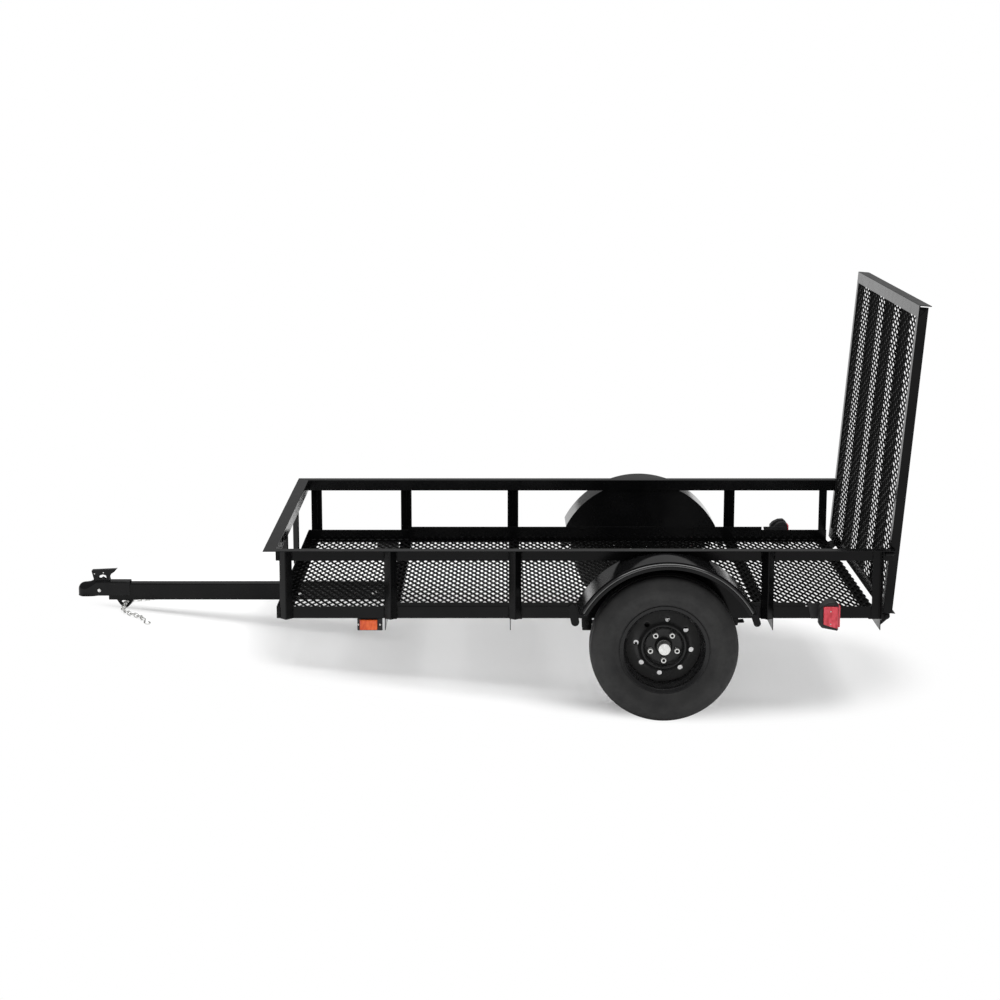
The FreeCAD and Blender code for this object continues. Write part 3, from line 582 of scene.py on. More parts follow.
def wire(path, radius, flat_way, sides=10, closed=False):
    """Round bar along a flat path: its circles are spanned by the path's own side direction and
    by the direction that the path lies flat against."""
    path, flat_way = np.asarray(path, float), np.asarray(flat_way, float)
    run = np.roll(path, -1, 0) - np.roll(path, 1, 0) if closed else np.gradient(path, axis=0)
    beside = np.cross(run, flat_way)
    beside /= np.linalg.norm(beside, axis=1)[:, None]
    a = np.linspace(0, 2 * math.pi, sides, endpoint=False)[:, None]
    return solid(path[:, None] + radius * (np.cos(a) * beside[:, None] + np.sin(a) * flat_way),
                 wrap=closed)


# %% [markdown]
# ## Bolts, nuts and welds
# The trailer is welded from angle, and what is bolted on, lamps, fenders, springs and
# coupler, shows zinc hexagons. A hexagon head is turned with a radius that changes round the
# ring, the distance to the nearest of six flats, and its top is chamfered round. A weld is a
# low bead with the ripple that the welder leaves every few millimetres.

# %% Fasteners and beads
HEX_STEPS = 24


def hex_radii(flats):
    """Radius round a hexagon: half its width over the cosine of the angle to the nearest flat."""
    theta = np.linspace(0, 2 * math.pi, HEX_STEPS, endpoint=False)
    return flats / 2 / np.cos((theta + math.pi / 6) % (math.pi / 3) - math.pi / 6)


def hex_head(centre, way, flats, height, washer=0.0, stud=0.0):
    """Hexagon on a washer, its top corners turned off, with the end of its bolt if it is a nut."""
    hexagon = hex_radii(flats)
    shapes = [turned([hexagon * 0.97, hexagon, hexagon, np.minimum(hexagon, flats * 0.54),
                      np.minimum(hexagon, flats * 0.5)],
                     [0, 0.4, height * 0.82, height * 0.93, height], centre, way, HEX_STEPS)]
    if washer:
        shapes.append(turned([washer - 0.4, washer, washer, washer - 0.4],
                             [-0.1, 0.3, 1.6, 2.0], centre, way, 28))
    if stud:
        shapes.append(turned([stud, stud, stud * 0.8], [0, height + 4.0, height + 5.5],
                             centre, way, 16))
    return combine(shapes)


def weld(start, end, radius=2.6):
    """Bead between two points: a half-sunk bar whose radius swells every 3 millimetres."""
    start, end = np.asarray(start, float), np.asarray(end, float)
    length = np.linalg.norm(end - start)
    t = np.linspace(0, 1, max(5, int(length / 1.5)))
    swell = 1 + 0.14 * np.sin(t * length * 2.1) + 0.06 * np.sin(t * length * 0.37 + start[0])
    size = radius * swell * np.clip(np.minimum(t, 1 - t) * length / radius + 0.35, 0.35, 1)
    return turned(size, t * length, start, end - start, 8)


def upright_weld(x, y, low, high, radius=2.6):
    """Bead up a vertical edge."""
    return weld((x, y, low), (x, y, high), radius)


print("a bead of 40 mm has", len(weld((0, 0, 0), (40, 0, 0))[0]), "points")

# %% [markdown]
# ## The bed
# Two side rails and two sills of 2 inch angle make the bed, three more angles cross under it,
# and a second ring of angle lies on top of the posts. Their corners are mitred, which the
# arrays do by letting the cut's depth grow with the distance from the heel.

# %% Rails and sills
BED_HALF, DECK_Z, TOP_Z = 769.0, 386.7, 680.5
FRONT_X, REAR_X, TOP_RAIL_END = -917.4, 1570.0, 1619.0
NOSE_X, INNER, UNDER_TOP = FRONT_X - STEEL, BED_HALF - STEEL, TOP_Z - STEEL
CROSS = ((-475.0, 1), (41.0, 1), (1127.0, -1))


def by_leg(u, v):
    """A mitre: the cut runs back by as much as the point stands off the heel."""
    return u


def past_leg(u, v):
    """A mitre the other way: the end runs on by as much as the point stands off the heel."""
    return -u


def trimmed_corner(u, v):
    """A square end with its outer corner cut off."""
    return np.maximum(0, u - (LEG - 6))


def cross_rail(x, reach, z, way, up, *cuts):
    """Angle from one side to the other, its legs to the rear or front and up or down."""
    return bar(rail_outline, (x, -reach, z), (0, 2 * reach, 0), (way, 0, 0), (0, 0, up), *cuts)


pair("rail_under", [bar(rail_outline, (NOSE_X, BED_HALF, DECK_Z), (REAR_X - NOSE_X, 0, 0),
                        (0, -1, 0), (0, 0, 1), by_leg)], "bottom_rail")
piece("sill_front_rolled", [cross_rail(NOSE_X, BED_HALF, DECK_Z, 1, 1, by_leg, by_leg)],
      "front_sill")
piece("cross_bars_rolled", [cross_rail(x, BED_HALF, DECK_Z, way, -1) for x, way in CROSS],
      "cross_members")
piece("sill_rear_rolled", [cross_rail(REAR_X, BED_HALF, DECK_Z, -1, -1)], "rear_sill")
pair("rail_top", [bar(rail_outline, (TOP_RAIL_END, INNER, TOP_Z), (FRONT_X - TOP_RAIL_END, 0, 0),
                      (0, 1, 0), (0, 0, -1), trimmed_corner, past_leg)], "top_rail")
piece("rail_top_front", [cross_rail(FRONT_X, INNER, TOP_Z, -1, -1, past_leg, past_leg)],
      "top_rail_front")

# %% [markdown]
# ## Posts
# The posts along the sides are angles set heel out, with both toes trimmed flat on the
# rails, so from the side each shows one lit face and one dark. The corner post at the rear is
# set flat instead, to meet the gate.

# %% Posts and their welds
POST_X, CORNER_POST_X, FRONT_POST_Y = (-880.0, -450.0, 62.0, 1100.0), 1568.6, 255.0
TOE, CROTCH, WELD_Y = POST_LEG / math.sqrt(2), STEEL * math.sqrt(2), BED_HALF + 0.6
vee = rounded([(-TOE, 0), (0, TOE), (TOE, 0), (TOE - CROTCH, 0), (0, TOE - CROTCH),
               (CROTCH - TOE, 0)], [0.8, 3.4, 0.8, 0.8, 3.0, 0.8], 4)
post_high = (0, 0, UNDER_TOP - DECK_Z)
posts = [bar(post_outline, (CORNER_POST_X, BED_HALF, DECK_Z), post_high, (-1, 0, 0), (0, 1, 0))]
for x in POST_X:
    posts.append(bar(vee, (x, BED_HALF, DECK_Z), post_high, (1, 0, 0), (0, 1, 0)))
    for way in (-1, 1):
        posts += [upright_weld(x + way * TOE, WELD_Y, DECK_Z + 2, DECK_Z + LEG - 4),
                  upright_weld(x + way * TOE, WELD_Y, TOP_Z - LEG + 4, UNDER_TOP - 2),
                  weld((x + way * 16, BED_HALF + 9, UNDER_TOP),
                       (x + way * 3, BED_HALF + 22, UNDER_TOP), 2.0)]
posts += [upright_weld(CORNER_POST_X - POST_LEG, WELD_Y, z, z + LEG - 8)
          for z in (DECK_Z + 3, TOP_Z - LEG + 3)]
pair("posts_rolled", posts, "posts")
front_posts = []
for y in (-FRONT_POST_Y, FRONT_POST_Y):
    front_posts.append(bar(vee, (NOSE_X, y, DECK_Z), post_high, (0, 1, 0), (-1, 0, 0)))
    front_posts += [upright_weld(NOSE_X - 0.6, y + toe, z, z + 42) for toe in (-TOE, TOE)
                    for z in (DECK_Z + 2, TOP_Z - LEG + 2)]
piece("posts_rolled_front", front_posts, "posts_front")

# %% Strips inside the rails
MESH_THICK, STRIP_X, STRIP_TOP = 3.2, (-440.0, 1258.0), 453.0
strip = bar(box_outline(INNER - STEEL, INNER, DECK_Z + STEEL + MESH_THICK, STRIP_TOP, 0.8),
            (STRIP_X[0], 0, 0), (STRIP_X[1] - STRIP_X[0], 0, 0), (0, 1, 0), (0, 0, 1))
bead_y, bead_z = INNER - STEEL + 0.5, STRIP_TOP - 10
strip_welds = [weld((x, bead_y, bead_z), (x + 30, bead_y, bead_z), 2.2)
               for x in np.arange(STRIP_X[0] + 40, STRIP_X[1] - 60, 260.0)]
piece("strips_inside", both(strip, *strip_welds), "inner_strips")

# %% [markdown]
# ## Expanded mesh
# Expanded metal is one sheet, slit in rows and pulled open: every strand runs in a zigzag,
# meets the next row's zigzag at a bond, and stands tilted, because pulling twists it. Cutting
# holes in a plate would give it flat strands and thousands of hole walls. Here each row is
# one strand, a small slanted section carried along its zigzag in half a dozen array steps,
# and neighbouring rows run in opposite step so that they touch at the bonds.

# %% Strands of the mesh
def expanded(short_pitch, long_pitch, rows_from, rows_to, reach, strand, thick, slant, bond):
    """Points of all strands, (rows, steps, 4, 3), drawn flat: rows along x, strands along y.
    A strand's middle swings by a triangle wave with flat tops as long as the bond, and lifts
    with it, so that two strands lie one on the other where they are bonded."""
    rows = np.arange(rows_from, rows_to - short_pitch / 4, short_pitch / 2)
    swing = (short_pitch / 2 - strand * math.cos(slant)) / 2 + 0.3
    last = math.ceil(reach / (long_pitch / 2))
    corners = np.arange(-last, last + 1)
    along = (corners[:, None] * long_pitch / 2 + np.array([-bond, bond]) / 2).ravel()
    sign = np.repeat(np.where(corners % 2, -1.0, 1.0), 2)
    ends, inside = np.array([-reach, reach]), np.abs(along) < reach - 1
    end_sign = np.interp(ends, along, sign)
    sign = np.concatenate([end_sign[:1], sign[inside], end_sign[1:]])
    along = np.concatenate([ends[:1], along[inside], ends[1:]])
    phase = np.where(np.arange(len(rows)) % 2, -1.0, 1.0)[:, None] * sign
    lift = -phase * strand / 2 * math.sin(slant) * 0.9
    section_x, section_z = tip(np.array([-strand, strand, strand, -strand]) / 2,
                               np.array([-thick, -thick, thick, thick]) / 2, slant)
    x = (rows[:, None] + short_pitch / 4 + swing * phase)[..., None] + section_x
    y = np.broadcast_to(along[None, :, None], x.shape)
    return np.stack([x, y, lift[..., None] + section_z], axis=-1)


def strands(points):
    """Each row as a closed bar, in one shape."""
    rows, steps, sides, _ = points.shape
    faces = np.concatenate([grid_faces(steps, sides, False, True), end_faces(steps, sides)])
    faces = faces + (np.arange(rows) * steps * sides)[:, None, None]
    return outward(points.reshape(-1, 3), [faces.reshape(-1, 4)])


SLANT, FLOOR_PITCH = math.radians(27), (34.75, 79.0)
flat = expanded(*FLOOR_PITCH, FRONT_X + 2, REAR_X - 2, reach=INNER - 1.5, strand=9.4,
                thick=2.6, slant=SLANT, bond=24.0)
flat[..., 2] += DECK_Z + STEEL + 1.9
piece("floor_expanded", [strands(flat)], "floor_mesh", slot="mesh_paint")

# %% [markdown]
# ## Tongue and coupler
# The tongue is one rectangular tube, hung from the front sill and the first cross member in
# bolted brackets. A tube is a ring outside and a ring inside, run into each other at both
# ends. The coupler is a pressing: its skin is a function of the place along it and the place
# round its section, from one lower edge over the top to the other, and it gets its steel's
# thickness from Solidify.

# %% Tongue tube and brackets
TONGUE_HALF, TONGUE_TOP, TONGUE_LOW, TONGUE_FRONT = 25.4, 359.7, 283.5, -1747.0
SADDLE_X, CHEEK_X, BRACKET_LOW, CHEEK_W = (-938.0, -884.0), (-604.0, -475.0), 296.0, 4.0
BRACKET_BOLTS = ((-896.0, 318.5), (-561.5, 318.5))
outer = box_outline(-TONGUE_HALF, TONGUE_HALF, TONGUE_LOW, TONGUE_TOP, 6.0, 5)
inner = box_outline(STEEL - TONGUE_HALF, TONGUE_HALF - STEEL, TONGUE_LOW + STEEL,
                    TONGUE_TOP - STEEL, 3.2, 5)
x0, x1 = TONGUE_FRONT, CROSS[0][0]
tight, wide = shrunk(outer, 0.6), shrunk(inner, -0.4)
piece("tongue_tube_rolled", [layers(
    [tight, outer, outer, tight, wide, inner, inner, wide],
    [x0, x0 + 0.6, x1 - 0.6, x1, x1, x1 - 0.6, x0 + 0.6, x0], "end", wrap=True)], "tongue_tube")
near, far = TONGUE_HALF + 0.2, TONGUE_HALF + CHEEK_W
saddle = plate(rounded([(-far, BRACKET_LOW), (-near, BRACKET_LOW), (-near, TONGUE_TOP + 0.2),
                        (near, TONGUE_TOP + 0.2), (near, BRACKET_LOW), (far, BRACKET_LOW),
                        (far, DECK_Z), (-far, DECK_Z)], [0.8, 0.8, 1, 1, 0.8, 0.8, 4, 4]),
               "end", *SADDLE_X)
cheek = plate(rounded([(CHEEK_X[0], BRACKET_LOW), (CHEEK_X[1], BRACKET_LOW),
                       (CHEEK_X[1], TONGUE_TOP - 8), (CHEEK_X[0] + 20, TONGUE_TOP - 8),
                       (CHEEK_X[0], TONGUE_TOP - 34)], [8, 2, 2, 6, 8]),
              "side", TONGUE_HALF + 0.1, far)
bracket_welds = [upright_weld(CHEEK_X[1] - 1, far, BRACKET_LOW + 6, TONGUE_TOP - 12, 2.4),
                 weld((SADDLE_X[0] + 4, far, DECK_Z - 1), (SADDLE_X[1] - 4, far, DECK_Z - 1), 2.4)]
piece("tongue_brackets_bent", [saddle] + both(cheek, *bracket_welds), "tongue_brackets")
tongue_bolts = [hex_head((x, far, z), ACROSS, flats=17.0, height=7.5, washer=11.5, stud=6.0)
                for x, z in BRACKET_BOLTS]
piece("tongue_bolts", both(*tongue_bolts), slot="zinc")

# %% Coupler skin
BALL_X, BALL_Z, DOME_R = -1853.0, 330.0, 32.05
COUPLER_LOW, COUPLER_TOP, COUPLER_HALF, COUPLER_END = 303.0, 368.0, 29.0, -1652.0
COUPLER_STEEL = 3.4


def coupler_skin():
    """Skin of the coupler: at each place along it, half its width and its top height give an
    upside-down U with round shoulders, read from one lower edge to the other. From the ball to
    60 mm behind it, the dome's section eases into the channel's."""
    along = np.concatenate([BALL_X - DOME_R * np.cos(np.linspace(0.18, math.pi / 2, 12)),
                            np.linspace(BALL_X + 8, BALL_X + 60, 10),
                            np.linspace(BALL_X + 72, COUPLER_END, 8)])
    round_off = np.sqrt(1 - np.clip((BALL_X - along) / DOME_R, 0, 1) ** 2)
    ease = np.clip((along - BALL_X) / 60, 0, 1)
    ease = ease * ease * (3 - 2 * ease)

    def eased(dome_value, channel_value):
        return dome_value * (1 - ease) + channel_value * ease

    top = eased(BALL_Z + DOME_R * round_off, COUPLER_TOP)
    width = eased(DOME_R * round_off, COUPLER_HALF)
    waist = width * (1 - 0.10 * np.exp(-((along - BALL_X - 42) / 14) ** 2))
    shoulder = np.minimum(eased(DOME_R * 0.98, 7.0), np.minimum(waist, top - COUPLER_LOW - 6))
    flare = 4.0 * np.clip(1 - (along - BALL_X - 20) / 30, 0, 1)
    top, width, waist, shoulder, flare = [row[:, None] for row in (top, width, waist, shoulder,
                                                                   flare)]
    t, level = np.linspace(0, math.pi / 2, 9), np.ones((len(along), 1))
    y = np.hstack([0 * level, waist - shoulder + shoulder * np.sin(t), waist, width + flare])
    z = np.hstack([top, top - shoulder * (1 - np.cos(t)), (COUPLER_LOW + 4.5) * level,
                   (COUPLER_LOW + 0.8) * level])
    y, z = np.hstack([-y[:, :0:-1], y]), np.hstack([z[:, :0:-1], z])
    points = np.stack([np.broadcast_to(along[:, None], y.shape), y, z], axis=-1)
    return points.reshape(-1, 3), [grid_faces(*y.shape)]


piece("coupler_pressed", [coupler_skin()], "coupler", slot="coupler_paint", sharp=50,
      steel=COUPLER_STEEL)
coupler_bolt = hex_head((-1787, COUPLER_HALF, 329), ACROSS, flats=15.0, height=7.0, stud=5.5)
piece("coupler_bolts", both(coupler_bolt), slot="zinc")

# %% Lever on the coupler, and the loop for the chains
LEVER_HALF, RIVETS = 13.0, ((-1810.0, 400.5), (-1769.6, 405.5))
LOOP_X, LOOP_LOW, LOOP_SPREAD, LOOP_HALF = -1677.0, 243.0, 40.0, 6.0
lever_line = rounded([(-1823, 412), (-1822, 416), (-1716, 421), (-1707, 425), (-1721, 409),
                      (-1738, 398), (-1744, 384), (-1741, COUPLER_TOP), (-1812, COUPLER_TOP)],
                     [1, 1.5, 3, 1.2, 3, 4, 4, 2, 3], 3)
opening = rounded([(-1794, 378), (-1788, 392), (-1773, 397), (-1760, 393), (-1755, 379),
                   (-1765, 376), (-1774, 384), (-1784, 377)], [3, 5, 5, 4, 4, 3, 4, 3], 3)
lever = [pierced(lever_line, opening, "side", y, y + 3.0)
         for y in (-LEVER_HALF, LEVER_HALF - 3.0)]
lever += [
    plate(rounded([(-1821, 412.5), (-1716, 418.0), (-1708, 424.6), (-1717, 421.0),
                   (-1822, 416.0)], [0.5, 1, 0.5, 2, 0.8]), "side",
          -LEVER_HALF + 0.5, LEVER_HALF - 0.5),
    wire([(-1806, y, 385) for y in (-LEVER_HALF - 3, 0, LEVER_HALF + 3)], 4.5, (0, 0, 1), 14),
    plate(rounded([(-1835, 362), (-1741, COUPLER_TOP - 0.5), (-1741, COUPLER_TOP + 5),
                   (-1812, COUPLER_TOP + 5)], [1, 1, 2, 3]), "side", -8, 8)]
piece("coupler_lever_folded", lever, "coupler_latch", slot="coupler_paint")
lever_rivets = [turned([3.0, 3.0, 2.4, 0.4], [-0.5, 0.8, 1.7, 2.0], (x, LEVER_HALF, z), steps=16)
                for x, z in RIVETS]
piece("lever_rivets", both(*lever_rivets), slot="zinc")
loop_line = rounded([(LOOP_X - LOOP_SPREAD, TONGUE_LOW), (LOOP_X + LOOP_SPREAD, TONGUE_LOW),
                     (LOOP_X + 25, LOOP_LOW + 17), (LOOP_X + 8, LOOP_LOW + 1.5),
                     (LOOP_X, LOOP_LOW - 0.5), (LOOP_X - 8, LOOP_LOW + 1.5),
                     (LOOP_X - 25, LOOP_LOW + 17)], [2, 2, 14, 6, 6, 6, 14], 4)
eye_line = rounded([(LOOP_X - 24, TONGUE_LOW - 7), (LOOP_X + 24, TONGUE_LOW - 7),
                    (LOOP_X, LOOP_LOW + 10)], 5, 5)
loop_weld = weld((LOOP_X - LOOP_SPREAD + 2, LOOP_HALF, TONGUE_LOW),
                 (LOOP_X + LOOP_SPREAD - 2, LOOP_HALF, TONGUE_LOW), 3.2)
loop = pierced(loop_line, eye_line, "side", -LOOP_HALF, LOOP_HALF, edge=1.6, count=96)
piece("chain_loop_bent", [loop] + both(loop_weld), "chain_loop")

# %% [markdown]
# ## Safety chains
# With the tongue let down, both ends of the chain lie on the floor beside the loop. The route
# turns a little at every link, sinks from the loop's eye to the floor, and each link is turned
# a quarter about the route from the last. This piece is laid out where it lies, so it only
# shifts with the axle and isn't tipped.

# %% Links and hooks
LINK_INSIDE, LINK_BAR, LINK_PITCH = (23.0, 12.8), 4.4, 21.2
LINK_HEIGHTS, LINK_LIE, HOOK_DIP, EYE_UP = (20.5, 17.2, 14.4, 12.6, 11.7), 11.2, 7.0, 23.0
CHAIN_TURNS = {1: (0, 0, 4, 9, 12, 9, 12, 9, -4, -9, -12, -9),
               -1: (0, 0, 2, 9, 12, 9, 12, 9, 6, -9, -12, -9)}
end_r = (LINK_INSIDE[1] + LINK_BAR) / 2
end_x = (LINK_INSIDE[0] + LINK_BAR) / 2 - end_r
half_link = around(end_x, 0, end_r, np.linspace(-math.pi / 2, math.pi / 2, 9))
half_link = np.column_stack([half_link, 0 * half_link[:, 0]])
link = wire(np.concatenate([half_link, half_link * (-1, -1, 1)]), LINK_BAR / 2, (0, 0, 1),
            closed=True)
hook_line = smooth_line([(14, 0), (22, 0), (31, -4), (41, -10), (51, -7), (54, 3), (49, 13),
                         (39, 16), (30, 11)], 5)
hook_size = np.interp(np.linspace(0, 1, len(hook_line)), [0, 0.3, 0.8, 1], [2.6, 3.3, 3.3, 1.6])
hook = wire(np.column_stack([hook_line, 0 * hook_line[:, 0]]), hook_size[:, None, None],
            (0, 0, 1), 12)


def lay(points):
    """Place in metres of points laid out parked, in millimetres."""
    x, y, z = np.asarray(points, float).T
    return np.column_stack([SPINDLE[0] + (x - AXLE_X) * MM, y * MM,
                            SPINDLE[2] + (z - AXLE_Z) * MM])


def chain():
    """All links, each a pitch on from the last: they roll about the route, dip about their
    side and head about Z, and the fall to the next height is taken off the level pitch."""
    floor_z = AXLE_Z - SPINDLE[2] / MM
    eye = (park([(LOOP_X, 0, LOOP_LOW + EYE_UP)])[0] - SPINDLE) / MM
    start = Vector((AXLE_X + eye[0], 0, AXLE_Z + eye[2]))
    shapes = []

    def put(shapes_here, at, heading, dip, roll):
        turns = [Matrix.Rotation(angle, 3, axis) for angle, axis in
                 ((heading, "Z"), (dip, "Y"), (roll, "X"))]
        turn = np.array(turns[0] @ turns[1] @ turns[2])
        shapes.extend((points @ turn.T + np.array(at), faces) for points, faces in shapes_here)

    put([link], start, math.pi / 2, 0, 0)
    for hand, degrees in CHAIN_TURNS.items():
        at, heading = start.copy(), hand * math.pi / 2
        heights = LINK_HEIGHTS + (LINK_LIE,) * len(degrees)
        for count, bend in enumerate(degrees):
            heading -= hand * math.radians(bend)
            fall = at.z - floor_z - heights[count]
            level = math.sqrt(LINK_PITCH ** 2 - fall ** 2)
            dip = math.asin((fall + heights[count] - heights[count + 1]) / 2 / LINK_PITCH)
            at += Vector((level * math.cos(heading), level * math.sin(heading), -fall))
            last = count == len(degrees) - 1
            put([link, hook] if last else [link], at, heading,
                math.radians(HOOK_DIP) if last else dip, math.pi / 2 * ((count + 1) % 2))
    return shapes


piece("safety_chain_links", chain(), "safety_chains", slot="zinc", place=lay)

# %% [markdown]
# ## Springs and axle
# Each end of the round axle hangs from a pack of three leaves, clamped by two U-bolts on a
# plate, with the pack's ends in folded hangers under the rail. A leaf is a shallow bow: a
# rectangle carried along a parabola. A U-bolt is a round bar up one side, over the leaves
# and down the other, bent round both corners, with nuts under the plate.

# %% Axle and leaves
SPRING_Y, SPRING_W, SPRING_FRONT, SPRING_BACK, LEAF = 741.0, 44.5, 307.0, 342.0, 6.5
SEAT_Z, SPRING_RISE, SPRING_BOW, AXLE_R, SPINDLE_R = 340.0, 12.0, 325.0, 30.0, 14.5
SPRING_IN, SPRING_OUT = SPRING_Y - SPRING_W / 2, SPRING_Y + SPRING_W / 2
axle_at = (AXLE_X, 0, AXLE_Z)
axle_parts = [rod(AXLE_R, -800, 800, axle_at, steps=56, chamfer=(2, 3)),
              rod(SPINDLE_R, -886, 886, axle_at, chamfer=(1, 3))]
seat = plate(rounded([(AXLE_X - 42, SEAT_Z), (AXLE_X - 42, SEAT_Z - 5), (AXLE_X - 24, 322),
                      (AXLE_X + 24, 322), (AXLE_X + 42, SEAT_Z - 5), (AXLE_X + 42, SEAT_Z)],
                     [0.8, 0.8, 3, 3, 0.8, 0.8]), "side", SPRING_IN, SPRING_OUT)
flange = turned([AXLE_R, 44, 46, 46, 44, AXLE_R], [786, 786, 788, 794, 796, 796], axle_at)
piece("axle_turned", axle_parts + both(seat, flange), "axle", slot="spring_paint")


def bow(x):
    """Height of the lowest leaf's underside, a parabola about the axle."""
    return SEAT_Z + SPRING_RISE * ((x - AXLE_X) / SPRING_BOW) ** 2


def leaf(level, share):
    """One leaf: its section, with rounded edges, carried along a share of the bow."""
    x = np.linspace(AXLE_X - share * SPRING_FRONT, AXLE_X + share * SPRING_BACK, 27)
    low = bow(x) + level * LEAF + (0.35 if level else 0)
    section = box_outline(SPRING_IN, SPRING_OUT, 0, LEAF - 0.5, 1.6)
    return solid([np.column_stack([np.full(len(section), a), section[:, 0], b + section[:, 1]])
                  for a, b in zip(x, low)])


spring = [leaf(0, 0.66), leaf(1, 0.83), leaf(2, 1.0)]
front_x = AXLE_X - SPRING_FRONT
spring.append(turned([13.0, 13.0, 12.4, 7.0, 7.0, 12.4],
                     [0, SPRING_W - 1, SPRING_W, SPRING_W, 0, 0],
                     (front_x, SPRING_IN, bow(front_x) + 2.5 * LEAF), steps=36, wrap=True))
clip_z = bow(AXLE_X - 180) + LEAF
clip = box_outline(SPRING_IN - 3, SPRING_OUT + 3, clip_z - 9, clip_z + 14.5, 3)
spring += [bar(clip, (x, 0, 0), (16, 0, 0), (0, 1, 0), (0, 0, 1))
           for x in (AXLE_X - 190, AXLE_X + 176)]
pair("leaf_spring", spring, "spring", slot="spring_paint")

# %% Clamps and hangers
CLAMP_X, BOLT_R, BEND = 36.0, 5.0, 7.0
HANGERS = ((358.4, 21.0, 51.0), (966.0, 17.0, 30.0))
clamp_low, clamp_reach = AXLE_Z - AXLE_R, SPRING_W / 2 + BOLT_R + 0.5
bend_z = SEAT_Z + 3 * LEAF + BOLT_R + 0.6 - BEND
clamps = [plate(box_outline(AXLE_X - 48, AXLE_X + 48, SPRING_Y - clamp_reach - 8,
                            SPRING_Y + clamp_reach + 8, 6), "top", clamp_low - 6, clamp_low)]
half_u = np.concatenate([[(clamp_reach, clamp_low - 16)], around(
    clamp_reach - BEND, bend_z, BEND, np.linspace(0, math.pi / 2, 6))])
nuts = []
for x in (AXLE_X - CLAMP_X, AXLE_X + CLAMP_X):
    path = [(x, SPRING_Y + y, z) for y, z in half_u]
    path += [(x, SPRING_Y - y, z) for y, z in half_u[::-1]]
    clamps.append(wire(path, BOLT_R, (1, 0, 0), 14))
    nuts += [hex_head((x, y, clamp_low - 6), (0, 0, -1), flats=16.0, height=8.0, washer=9.5)
             for y in (SPRING_Y - clamp_reach, SPRING_Y + clamp_reach)]
piece("u_bolts", both(*clamps), "axle_clamps", slot="zinc")
piece("u_bolt_nuts", both(*nuts), slot="zinc")

hanger_parts, hanger_bolts = [], []
in_y, out_y = SPRING_IN - 1, SPRING_OUT + 1
for x, reach, drop in HANGERS:
    side_line = rounded([(x - reach, DECK_Z), (x + reach, DECK_Z),
                         (x + reach - 2, DECK_Z - drop), (x - reach + 2, DECK_Z - drop)],
                        [1, 1, 3, 3])
    hanger_parts += [plate(side_line, "side", in_y - 4, in_y),
                     plate(side_line, "side", out_y, out_y + 4),
                     plate(box_outline(x - reach, x + reach, in_y - 2, out_y + 2, 1), "top",
                           DECK_Z - 4, DECK_Z - 0.1)]
    bolt_z = bow(x) + 2.5 * LEAF if x < AXLE_X else DECK_Z - drop + 9
    hanger_bolts += [hex_head((x, out_y + 4, bolt_z), ACROSS, flats=14.0, height=6.0),
                     hex_head((x, in_y - 4, bolt_z), -ACROSS, flats=14.0, height=6.0,
                              washer=8.5, stud=5.0)]
piece("hangers_folded", both(*hanger_parts), "spring_hangers")
piece("hanger_bolts", both(*hanger_bolts), slot="spring_paint")

# %% [markdown]
# ## Fenders
# A round fender is a rolled strip with its outer edge turned down in a small radius, welded
# to a flat plate against the rail, with a strap foot at each end. Its section, strip, radius
# and lip, is one closed outline carried round the arc, and each point of the outline has its
# own last angle, because the ends are cut level and the outer corners are rounded.

# %% Fender
FENDER_X, FENDER_Z, FENDER_R, FENDER_SHEET, FENDER_OUT = 676.0, 268.0, 405.0, 2.0, 1000.0
FENDER_END, SKIRT_Z, CORNER, FOOT_THICK = 455.0, 390.0, 9.0, 5.0
FEET = (((298.0, 430.0), (310.0, 371.0), 17.0), ((1040.0, 428.0), (1061.0, 366.0), 15.0))
EDGE_OUTSIDE = ((0, 16), (5.5, 14.5), (18, 4), (31, 8))
EDGE_INSIDE = ((31, 10), (18.6, 6.1), (6.4, 16.3), (2, 17.5))
BEAD_R, BEAD_DOWN = 6.5, 11.5


def fender_arch():
    """Section of the strip and its rolled edge, each point as far below the strip and inside
    the edge as the lists say, swept between two angles, higher at the outer corner."""
    corners = [(FENDER_R - down, FENDER_OUT - back) for down, back in EDGE_OUTSIDE + EDGE_INSIDE]
    start_y = BED_HALF + 0.1
    r, y = rounded([(FENDER_R, start_y)] + corners + [(FENDER_R - FENDER_SHEET, start_y)],
                   [0.4, 1.5, 2, 3, 0.8, 0.8, 2, 1, 1, 0.4], 5).T
    near = FENDER_OUT - np.array([CORNER, 6.0, 3.0, 0.0])
    last = np.arcsin((FENDER_END + np.interp(y, near, [0.0, 1.0, 4.0, 9.0]) - FENDER_Z) / r)
    angle = last + np.linspace(0, 1, 97)[:, None] * (math.pi - 2 * last)
    return solid(np.stack([FENDER_X + r * np.cos(angle), np.broadcast_to(y, angle.shape),
                           FENDER_Z + r * np.sin(angle)], axis=-1))


def strap(top, bottom, half_width, low, high):
    """Flat bar between two points of the side view, both ends half round."""
    way = math.atan2(bottom[1] - top[1], bottom[0] - top[0])
    turns = way + np.linspace(math.pi / 2, 3 * math.pi / 2, 12)
    return plate(np.concatenate([around(*top, half_width, turns),
                                 around(*bottom, half_width, turns + math.pi)]),
                 "side", low, high, 0.8)


def arc_angles(radius, low_z, count):
    """Angles round the fender's middle, from one end at low_z over the top to the other."""
    lift = math.asin((low_z - FENDER_Z) / radius)
    return np.linspace(lift, math.pi - lift, count)


